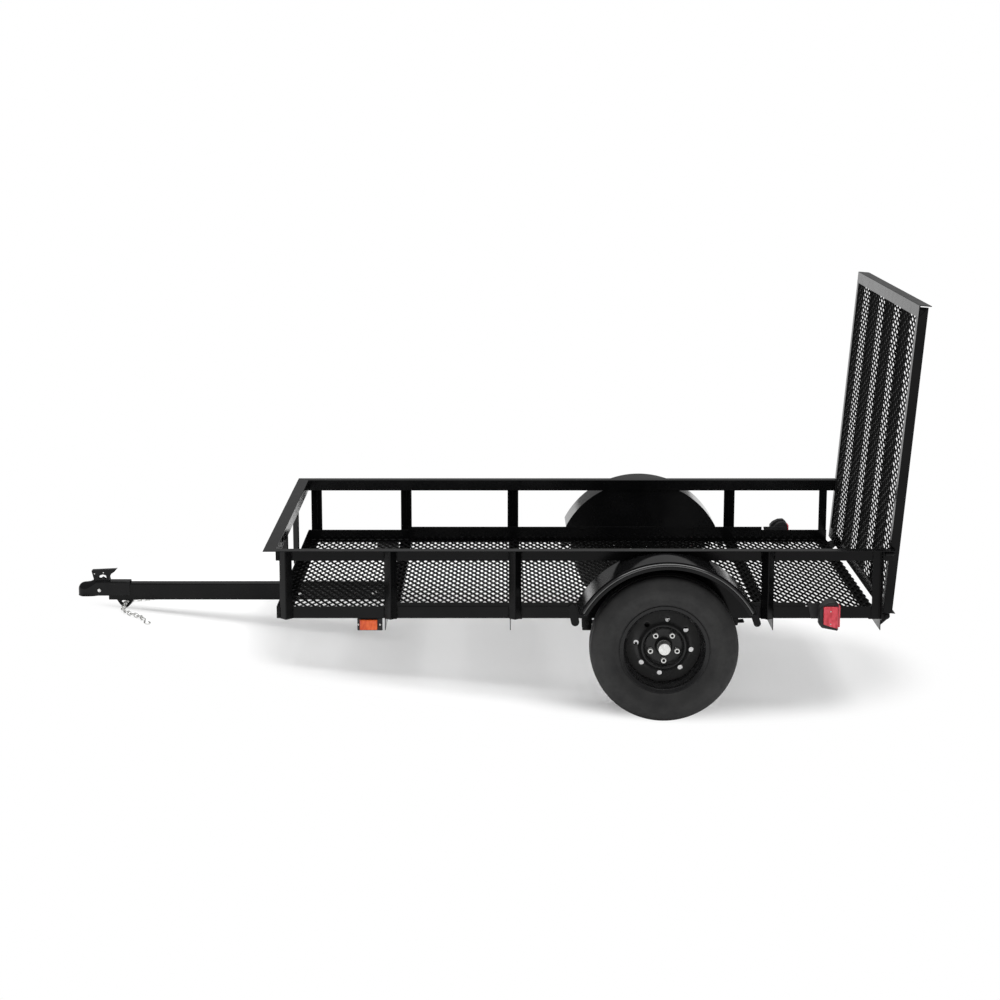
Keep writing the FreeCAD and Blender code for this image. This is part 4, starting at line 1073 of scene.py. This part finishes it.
back_r, weld_r, bead_r = FENDER_R - 1.2, FENDER_R - 3, FENDER_R - BEAD_DOWN
back_plate = plate(around(FENDER_X, FENDER_Z, back_r, arc_angles(back_r, SKIRT_Z, 64)), "side",
                   BED_HALF + 0.05, BED_HALF + FENDER_SHEET, 0.3)
fender = [fender_arch(), back_plate]
fender += [strap(*foot, BED_HALF + 0.1, BED_HALF + FOOT_THICK) for foot in FEET]
for degrees in range(28, 156, 16):
    (xa, za), (xb, zb) = around(FENDER_X, FENDER_Z, weld_r, np.radians([degrees, degrees + 5]))
    fender.append(weld((xa, BED_HALF + 3.2, za), (xb, BED_HALF + 3.2, zb), 2.2))
pair("fender_rolled", fender, "fender", slot="fender_paint")
bead_x, bead_z = around(FENDER_X, FENDER_Z, bead_r,
                        arc_angles(bead_r, FENDER_END + CORNER, 97)).T
bead = wire(np.column_stack([bead_x, 0 * bead_x + FENDER_OUT - BEAD_R, bead_z]), BEAD_R,
            ACROSS, 16)
piece("fender_beads", both(bead), slot="fender_paint", coat="bead_paint")

# %% [markdown]
# ## Wheels
# A trailer tyre has plain sidewalls, round shoulders and a few zigzag grooves. It is one closed
# section turned round the axle, and the place across changes with the angle: that makes the
# zigzag without cutting anything.

# %% Tyre
WHEEL_Y, TYRE_R, CROWN_DROP, TREAD_HALF = 908.0, 303.0, 3.6, 58.0
GROOVES, GROOVE_DEPTH, ZIGS, ZIG_SWING = (28.0, 0.0, -28.0), 7.0, 72, 2.4
RIB_R, RIB_HIGH, RIB_WIDE = 252, 0.7, 1.6
wheel_centre = np.array([AXLE_X, WHEEL_Y, AXLE_Z])


def tyre():
    """Carcass with tread: radius = crown, less the groove depth; place across = the section's,
    plus a triangle wave on the grooves' edges. A thin rib runs round the sidewall."""
    r_wall, y_wall = smooth_line(
        [(168.8, 54.6), (171.5, 57.8), (178, 60.6), (183.8, 64.9), (190, 69.6), (202, 75.4),
         (219, 84.6), (236, 88.8), (252, 87.6), (266, 82.6), (279, 76.2), (289, 69.0),
         (295.5, 62.5), (299, 56.5)], 4).T
    y_wall = y_wall + RIB_HIGH * np.exp(-((r_wall - RIB_R) / RIB_WIDE) ** 2)
    groove_y = np.add.outer(GROOVES, [4.4, 3.2, -3.2, -4.4]).ravel()
    tread_y = np.concatenate([[53.0], groove_y, [-53.0]])
    depth = np.concatenate([[0], np.tile([0, GROOVE_DEPTH, GROOVE_DEPTH, 0], 3), [0]])
    inner_r = np.array([168.8, 196, 236, 282, 290, 282, 236, 196, 168.8])
    inner_y = np.array([-44, -58, -76, -58, 0, 58, 76, 58, 44])
    r_tread = TYRE_R - CROWN_DROP * (tread_y / TREAD_HALF) ** 2 - depth
    radius = np.concatenate([r_wall, r_tread, r_wall[::-1], inner_r])
    place = np.concatenate([y_wall, tread_y, -y_wall[::-1], inner_y])
    zig = np.concatenate([0 * r_wall, np.abs(tread_y) < 40, 0 * r_wall, 0 * inner_r])
    turns = np.arange(ZIGS * 3) / (ZIGS * 3)
    wave = np.abs((turns * ZIGS / 2) % 1 - 0.5) * 4 - 1
    theta, r = turns * 2 * math.pi, radius[:, None]
    y = place[:, None] + ZIG_SWING * zig[:, None] * wave
    rings = np.stack([AXLE_X + r * np.cos(theta), WHEEL_Y + y, AXLE_Z + r * np.sin(theta)],
                     axis=-1)
    return outward(rings.reshape(-1, 3), [grid_faces(*y.shape, True, True)])


pair("tyre_treaded", [tyre()], "tyre", body="wheel", slot="tyre_rubber", sharp=30)

# %% Steel wheel
HAND_HOLES, HAND_R, HAND_AT, HAND_FROM, HAND_ROLL, ROLL_WIDE = 8, 10.0, 113.0, 82.4, 1.6, 2.2
barrel = turned(*rounded(
    [(183, -66), (183, -63), (168.5, -58.5), (168.2, -40), (156, -22), (156, 22), (168.2, 40),
     (168.5, 58.5), (183, 63), (183, 66), (180, 67), (165, 61.5), (164.6, 41), (152.6, 23),
     (152.6, -23), (164.6, -41), (165, -61.5), (180, -67)],
    [1, 1, 5, 8, 8, 8, 8, 5, 1, 1, 1.4, 5, 8, 8, 8, 8, 5, 1.4], 3).T, wheel_centre, steps=120,
    wrap=True)
dish_line = smooth_line([(33, 0), (52, 0), (66, 0), (74, 1.5), (79, 7), (83.5, 13), (88, 15),
                         (92.5, 13.4), (98, 7.4), (104, 2.8), (113, 0), (126, -4.5),
                         (140, -9.5), (149, -13.5), (153.6, -14.5)], 6)


def dish(radius):
    """Height of the disc's outer face over its hub face, read off the pressed section."""
    return np.interp(radius, dish_line[:, 0], dish_line[:, 1])


def disc_sheet():
    """Outer face of the disc: a ring inside, a ring outside, and between them eight patches
    whose points run from the round hand hole, its edge rolled in, to the patch's own edge."""
    per, low, high = 14, 98.0, 128.0
    step = 2 * math.pi / (HAND_HOLES * per)
    start = math.radians(HAND_FROM) - math.pi / HAND_HOLES
    spokes = start + np.arange(HAND_HOLES * per) * step
    parts = []
    for radii in (np.array([33, 42, 52, 60, 66, 71, 75, 78, 81, 84, 87, 90, 93, 95.5, low]),
                  np.array([high, 133, 138, 143, 147, 150, 153.6])):
        x, z = radii[:, None] * np.cos(spokes), radii[:, None] * np.sin(spokes)
        points = np.stack([x, np.broadcast_to(dish(radii)[:, None], x.shape), z], axis=-1)
        parts.append((points.reshape(-1, 3),
                      [grid_faces(len(radii), len(spokes), False, True)[:, ::-1]]))
    side_r = np.linspace(low, high, 7)
    t = np.array([0.0, 0.10, 0.25, 0.5, 1.0])[:, None, None]
    for k in range(HAND_HOLES):
        span = start + (k * per + np.arange(per + 1)) * step
        edge_a = np.concatenate([span[:-1], np.full(6, span[-1]), span[:0:-1],
                                 np.full(6, span[0])])
        edge_r = np.concatenate([np.full(per, low), side_r[:-1], np.full(per, high),
                                 side_r[:0:-1]])
        edge = np.column_stack([edge_r * np.cos(edge_a), edge_r * np.sin(edge_a)])
        middle = around(0, 0, HAND_AT, start + (k + 0.5) * per * step)[0]
        off = edge - middle
        hole = middle + HAND_R * off / np.linalg.norm(off, axis=1)[:, None]
        flat = hole + (edge - hole) * t
        gap = np.linalg.norm(flat - middle, axis=-1) - HAND_R
        roll = HAND_ROLL * np.exp(-(gap / ROLL_WIDE) ** 2) * (1 - t[..., 0])
        y = dish(np.linalg.norm(flat, axis=-1)) - roll
        # The loop runs against the turn of the rings, so its faces keep their order
        parts.append((np.stack([flat[..., 0], y, flat[..., 1]], axis=-1).reshape(-1, 3),
                      [grid_faces(len(t), len(edge), False, True)]))
    points, groups = combine(parts)
    return points + wheel_centre, groups


disc = disc_sheet()
disc_left = (disc[0] * (1, -1, 1), [faces[:, ::-1] for faces in disc[1]])
for hand, sheet, ring in (("right", disc, barrel), ("left", disc_left, across(barrel))):
    piece("rim_barrel_" + hand, [ring], "rim_" + hand, body="wheel_" + hand, slot="rim_paint")
    piece("rim_disc_" + hand, [sheet], body="wheel_" + hand, slot="rim_paint",
          coat="disc_paint", sharp=50, merge=True, steel=3.6)

# %% Hub, lug nuts, cap and valve
LUG_AT, LUG_COUNT, LUG_FLATS, VALVE_AT, VALVE_TURN = 57.15, 5, 19.0, 112.8, 175


def on_wheel(radius, degrees):
    """Place on the wheel's outer face, at a radius and an angle."""
    a = math.radians(degrees)
    return wheel_centre + radius * np.array([math.cos(a), 0, math.sin(a)])


hub = [turned([15.5, 29, 30, 36, 36, 69, 70, 70, 69, 32, 32.6, 32.6, 31, 27],
              [-78, -78, -77, -60, -14, -14, -13, -5, -4, -4, 0, 5, 7, 8], wheel_centre, steps=64)]
bright = [turned([27.5, 27.5, 25.9, 25.5, 25.5, 25.1, 23.8, 22.4, 0.5],
                 [6, 12, 14, 17, 52, 54.4, 56.6, 57, 57], wheel_centre, steps=56)]
hexagon = hex_radii(LUG_FLATS)
lug_radii = [r + 0 * hexagon for r in (10.5, 11.4, hexagon, hexagon, np.minimum(hexagon, 10.9),
                                       10.3, 6.7, 6.3, 6.3)]
for k in range(LUG_COUNT):
    place = on_wheel(LUG_AT, -90 + 360 / LUG_COUNT * k)
    bright.append(turned(lug_radii, [-0.5, 1.0, 2.4, 16.0, 17.4, 18.0, 18.0, 17.6, 4.0], place,
                         steps=HEX_STEPS))
    hub.append(turned([6.2, 6.2, 5.2], [0, 9.0, 10.0], place, steps=20))
valve = turned([5.6, 5.6, 4.4, 3.9, 3.9, 4.6, 4.6, 4.2], [-6, 2, 6, 14, 20, 20.5, 30, 31.5],
               on_wheel(VALVE_AT, VALVE_TURN), steps=20)
for hand, mirror in (("right", lambda shape: shape), ("left", across)):
    body = "wheel_" + hand
    piece("hub_bright_" + hand, [mirror(shape) for shape in bright], "hub_" + hand, body=body,
          slot="zinc", sharp=28)
    piece("hub_body_" + hand, [mirror(shape) for shape in hub], body=body, slot="spring_paint")
    piece("valve_" + hand, [mirror(valve)], body=body, slot="tyre_rubber")

# %% [markdown]
# ## Lamps
# The side marker is an amber lens on a black plate, the tail lamp a red lens wrapped round a
# black housing. Moulded plastic has soft edges, so those solids close in over a quarter
# circle instead of a flat chamfer. The lenses have upright flutes, a row of shallow arcs
# along the outline, which break up the light as the real ones do.

# %% Moulded shapes
def moulded(outline, low, high, radius, steps=5):
    """Plate whose outer edge is a quarter circle: the outline shrinks as it nears the face."""
    a = np.linspace(0, math.pi / 2, steps)
    insets = [0.3, 0, *(radius * (1 - np.cos(a)))]
    levels = [low, low + 0.3, *(high - radius * (1 - np.sin(a)))]
    return layers([shrunk(outline, inset) for inset in insets], levels, "side")


def fluted(x0, x1, y0, y1, flutes, depth):
    """Outline from above of a lens whose outer side is a row of shallow arcs."""
    t = np.linspace(0, flutes, flutes * 4 + 1)
    wave = depth * np.sqrt(np.clip(1 - (2 * (t % 1) - 1) ** 2, 0, 1))
    width = (x1 - x0) / flutes / 5
    shoulder = 3.0 * np.clip(np.maximum(1 - t * width, 1 - (flutes - t) * width), 0, 1) ** 2
    x = x0 + 0.4 + t / flutes * (x1 - x0 - 0.8)
    front = np.column_stack([x, y1 - depth + wave - shoulder])
    return np.concatenate([[(x1, y0)], [(x0, y0)], front])


def screw(centre, radius=4.2):
    """Pan-head screw with its shallow dome."""
    return turned([radius, radius, radius * 0.86, radius * 0.5, 0.4],
                  [-0.5, 1.2, 2.3, 2.9, 3.0], centre, steps=20)


# %% Side markers and tail lamps
MARKER_X, MARKER_IN, MARKER_PLATE, MARKER_FACE, LENS_FACE = (-590, -486), 742, 748, 756, 772
marker = [plate(box_outline(*MARKER_X, 330, DECK_Z, 3), "side", MARKER_IN, MARKER_PLATE),
          moulded(box_outline(*MARKER_X, 332, 384, 5), MARKER_PLATE, MARKER_FACE, radius=3.0)]
piece("marker_bases", both(*marker), "marker_lamps", slot="lamp_black")
marker_lens = plate(fluted(-579, -506, MARKER_FACE, LENS_FACE, flutes=16, depth=1.0), "top",
                    337, 379, edge=2.2)
piece("marker_lens_fluted", both(marker_lens), "marker_lenses", slot="lens_amber")
piece("marker_screws", both(*[screw((x, 755.5, 357)) for x in (-584.8, -496.0)]), slot="zinc")

tail_plate = plate(rounded([(1266, 452), (1383, 452), (1383, DECK_Z), (1281, DECK_Z)], 3),
                   "side", BED_HALF + 0.1, BED_HALF + 4)
back_line = rounded([(1316, 384), (1324, 370), (1383, 360), (1383, 460), (1368, 474),
                     (1344, 472), (1328, 462), (1316, 444)], [7, 8, 3, 8, 14, 20, 20, 12], 5)
housing_line = rounded([(1304, 380), (1316, 366), (1379, 354), (1383, 360), (1383, 464),
                        (1368, 478), (1342, 476), (1318, 464), (1304, 448)],
                       [8, 8, 2, 2, 8, 14, 20, 22, 12], 5)
housing = [moulded(back_line, BED_HALF + 4, BED_HALF + 44, radius=1.0),
           moulded(housing_line, BED_HALF + 40, BED_HALF + 86, radius=8.0, steps=6)]
piece("tail_housings", both(tail_plate, *housing), "tail_lamps", slot="lamp_black")
side_lens = moulded(rounded([(1320, 384), (1379, 366), (1379, 457), (1320, 457)], 4),
                    BED_HALF + 84, BED_HALF + 100, radius=4.0)
rear_flutes = fluted(-(BED_HALF + 78), -(BED_HALF + 14), 1382.5, 1391, flutes=14, depth=0.9)
rear_lens = plate(np.column_stack([rear_flutes[:, 1], -rear_flutes[:, 0]]), "top", 368, 456,
                  edge=1.8)
piece("tail_lens_moulded", both(side_lens, rear_lens), "tail_lenses", slot="lens_red")
piece("tail_screws", both(*[screw((1348, BED_HALF + 99.6, z), 2.6) for z in (388, 440)]),
      slot="zinc")

# %% [markdown]
# ## The gate
# The gate is a frame of angle with three uprights behind its mesh, hinged on the rear sill.
# It is drawn upright from its lower front edge and stood in place by the function above, so
# it leans and turns as the solids do. Its joint carries it from upright down to the floor.

# %% Gate frame
GATE_H, GATE_HALF, GATE_BARS, STILE_GAP = 1275.0, 760.0, (-380.0, 0.0, 380.0), 4.0
GATE_PITCH, BAR_FRONT = (34.75, 66.5), STEEL + MESH_THICK
ON_GATE = {"body": "gate", "place": stand_gate}
upright = (0, 0, GATE_H - 2 * STEEL)


def under_top(u, v):
    """The stile's flat leg stops under the top bar's leg, the other just short of the bar."""
    return np.where(v < STEEL - 0.1, LEG - STEEL, STILE_GAP)


def foot_only(u, v):
    """The upright leg stops between the stiles, the foot runs under them."""
    return np.where(v > STEEL + 0.1, POST_LEG, 0)


pair("gate_stile_rolled", [bar(post_outline, (0, GATE_HALF, STEEL), upright, (0, -1, 0),
                               (1, 0, 0), None, under_top)], "gate_stile", **ON_GATE)
piece("gate_top_rolled", [cross_rail(0, GATE_HALF, GATE_H, 1, -1)], "gate_top", **ON_GATE)
piece("gate_bottom_rolled", [cross_rail(0, GATE_HALF, 0, 1, 1, foot_only, foot_only)],
      "gate_bottom", **ON_GATE)
uprights = []
for y in GATE_BARS:
    uprights.append(bar(post_outline, (BAR_FRONT, y, STEEL), upright, (0, 1, 0), (1, 0, 0)))
    uprights += [weld((BAR_FRONT, y + 4, z), (BAR_FRONT, y + POST_LEG - 3, z), 2.2)
                 for z in (LEG + 1, GATE_H - LEG - 1)]
    uprights.append(weld((8, y + STEEL + 0.5, STEEL), (34, y + STEEL + 0.5, STEEL), 2.4))
piece("gate_uprights_rolled", uprights, "gate_bars", **ON_GATE)
flat = expanded(*GATE_PITCH, 6.0, GATE_H - 6.0, reach=GATE_HALF - STEEL - 1.0, strand=6.8,
                thick=2.1, slant=SLANT, bond=18.0)
flat = flat[..., ::-1] + (STEEL + 1.4, 0, 0)
piece("gate_expanded", [strands(flat)], "gate_mesh", slot="mesh_paint", **ON_GATE)

# %% Hinges
HINGE_IN, HINGE_DROP, HINGE_Y, PIN_R, KNUCKLE_R, KNUCKLE_W = 23.0, 20.0, 710.0, 8.0, 14.0, 22.0
knuckle_low = -HINGE_DROP - KNUCKLE_R
fore, aft = HINGE_IN - KNUCKLE_R, HINGE_IN + KNUCKLE_R
knuckle = plate(rounded([(fore, 0), (aft, 0), (aft, knuckle_low), (fore, knuckle_low)],
                        [1, 1, KNUCKLE_R - 0.1, KNUCKLE_R - 0.1], 8),
                "side", HINGE_Y - KNUCKLE_W / 2, HINGE_Y + KNUCKLE_W / 2)
knuckle_weld = weld((aft, HINGE_Y - 9, 0), (aft, HINGE_Y + 9, 0), 2.4)
piece("gate_hinge_knuckles", both(knuckle, knuckle_weld), "gate_knuckles", **ON_GATE)
piece("gate_hinge_pins", both(rod(PIN_R, -25, 25, (HINGE_IN, HINGE_Y, -HINGE_DROP), steps=28)),
      **ON_GATE)
pin_x, pin_z = tip(HINGE_IN, -HINGE_DROP, -GATE_LEAN)
pin_x, pin_z = GATE_X + pin_x, GATE_Z + pin_z
lug_line = np.concatenate([[(REAR_X, DECK_Z - 44), (REAR_X, DECK_Z)],
                           around(pin_x, pin_z, KNUCKLE_R, np.radians(np.linspace(80, -80, 14)))])
pin_hole = around(pin_x, pin_z, PIN_R + 0.5, np.linspace(0, 2 * math.pi, 24, endpoint=False))
lugs = [pierced(lug_line, pin_hole, "side", low, low + 6.0, 0.6)
        for low in (HINGE_Y - KNUCKLE_W / 2 - 8, HINGE_Y + KNUCKLE_W / 2 + 2)]
piece("hinge_lugs_cut", both(*lugs), "hinge_lugs")

# %% Latches
LATCH_Y, LATCH_Z = BED_HALF + 15, UNDER_TOP - 14
latch = [plate(box_outline(1572, 1614, LATCH_Z - 12, LATCH_Z + 12, 3), "side",
               BED_HALF + 0.1, BED_HALF + 5),
         turned([10, 11, 11, 10, 6, 6], [0, 1, 33, 34, 34, 0], (1576, LATCH_Y, LATCH_Z),
                (1, 0, 0), 32, wrap=True)]
piece("latch_barrels", both(*latch), "gate_latches")
piece("latch_pins", both(rod(5, 0, 47, (1570, LATCH_Y, LATCH_Z), (1, 0, 0), 20)))
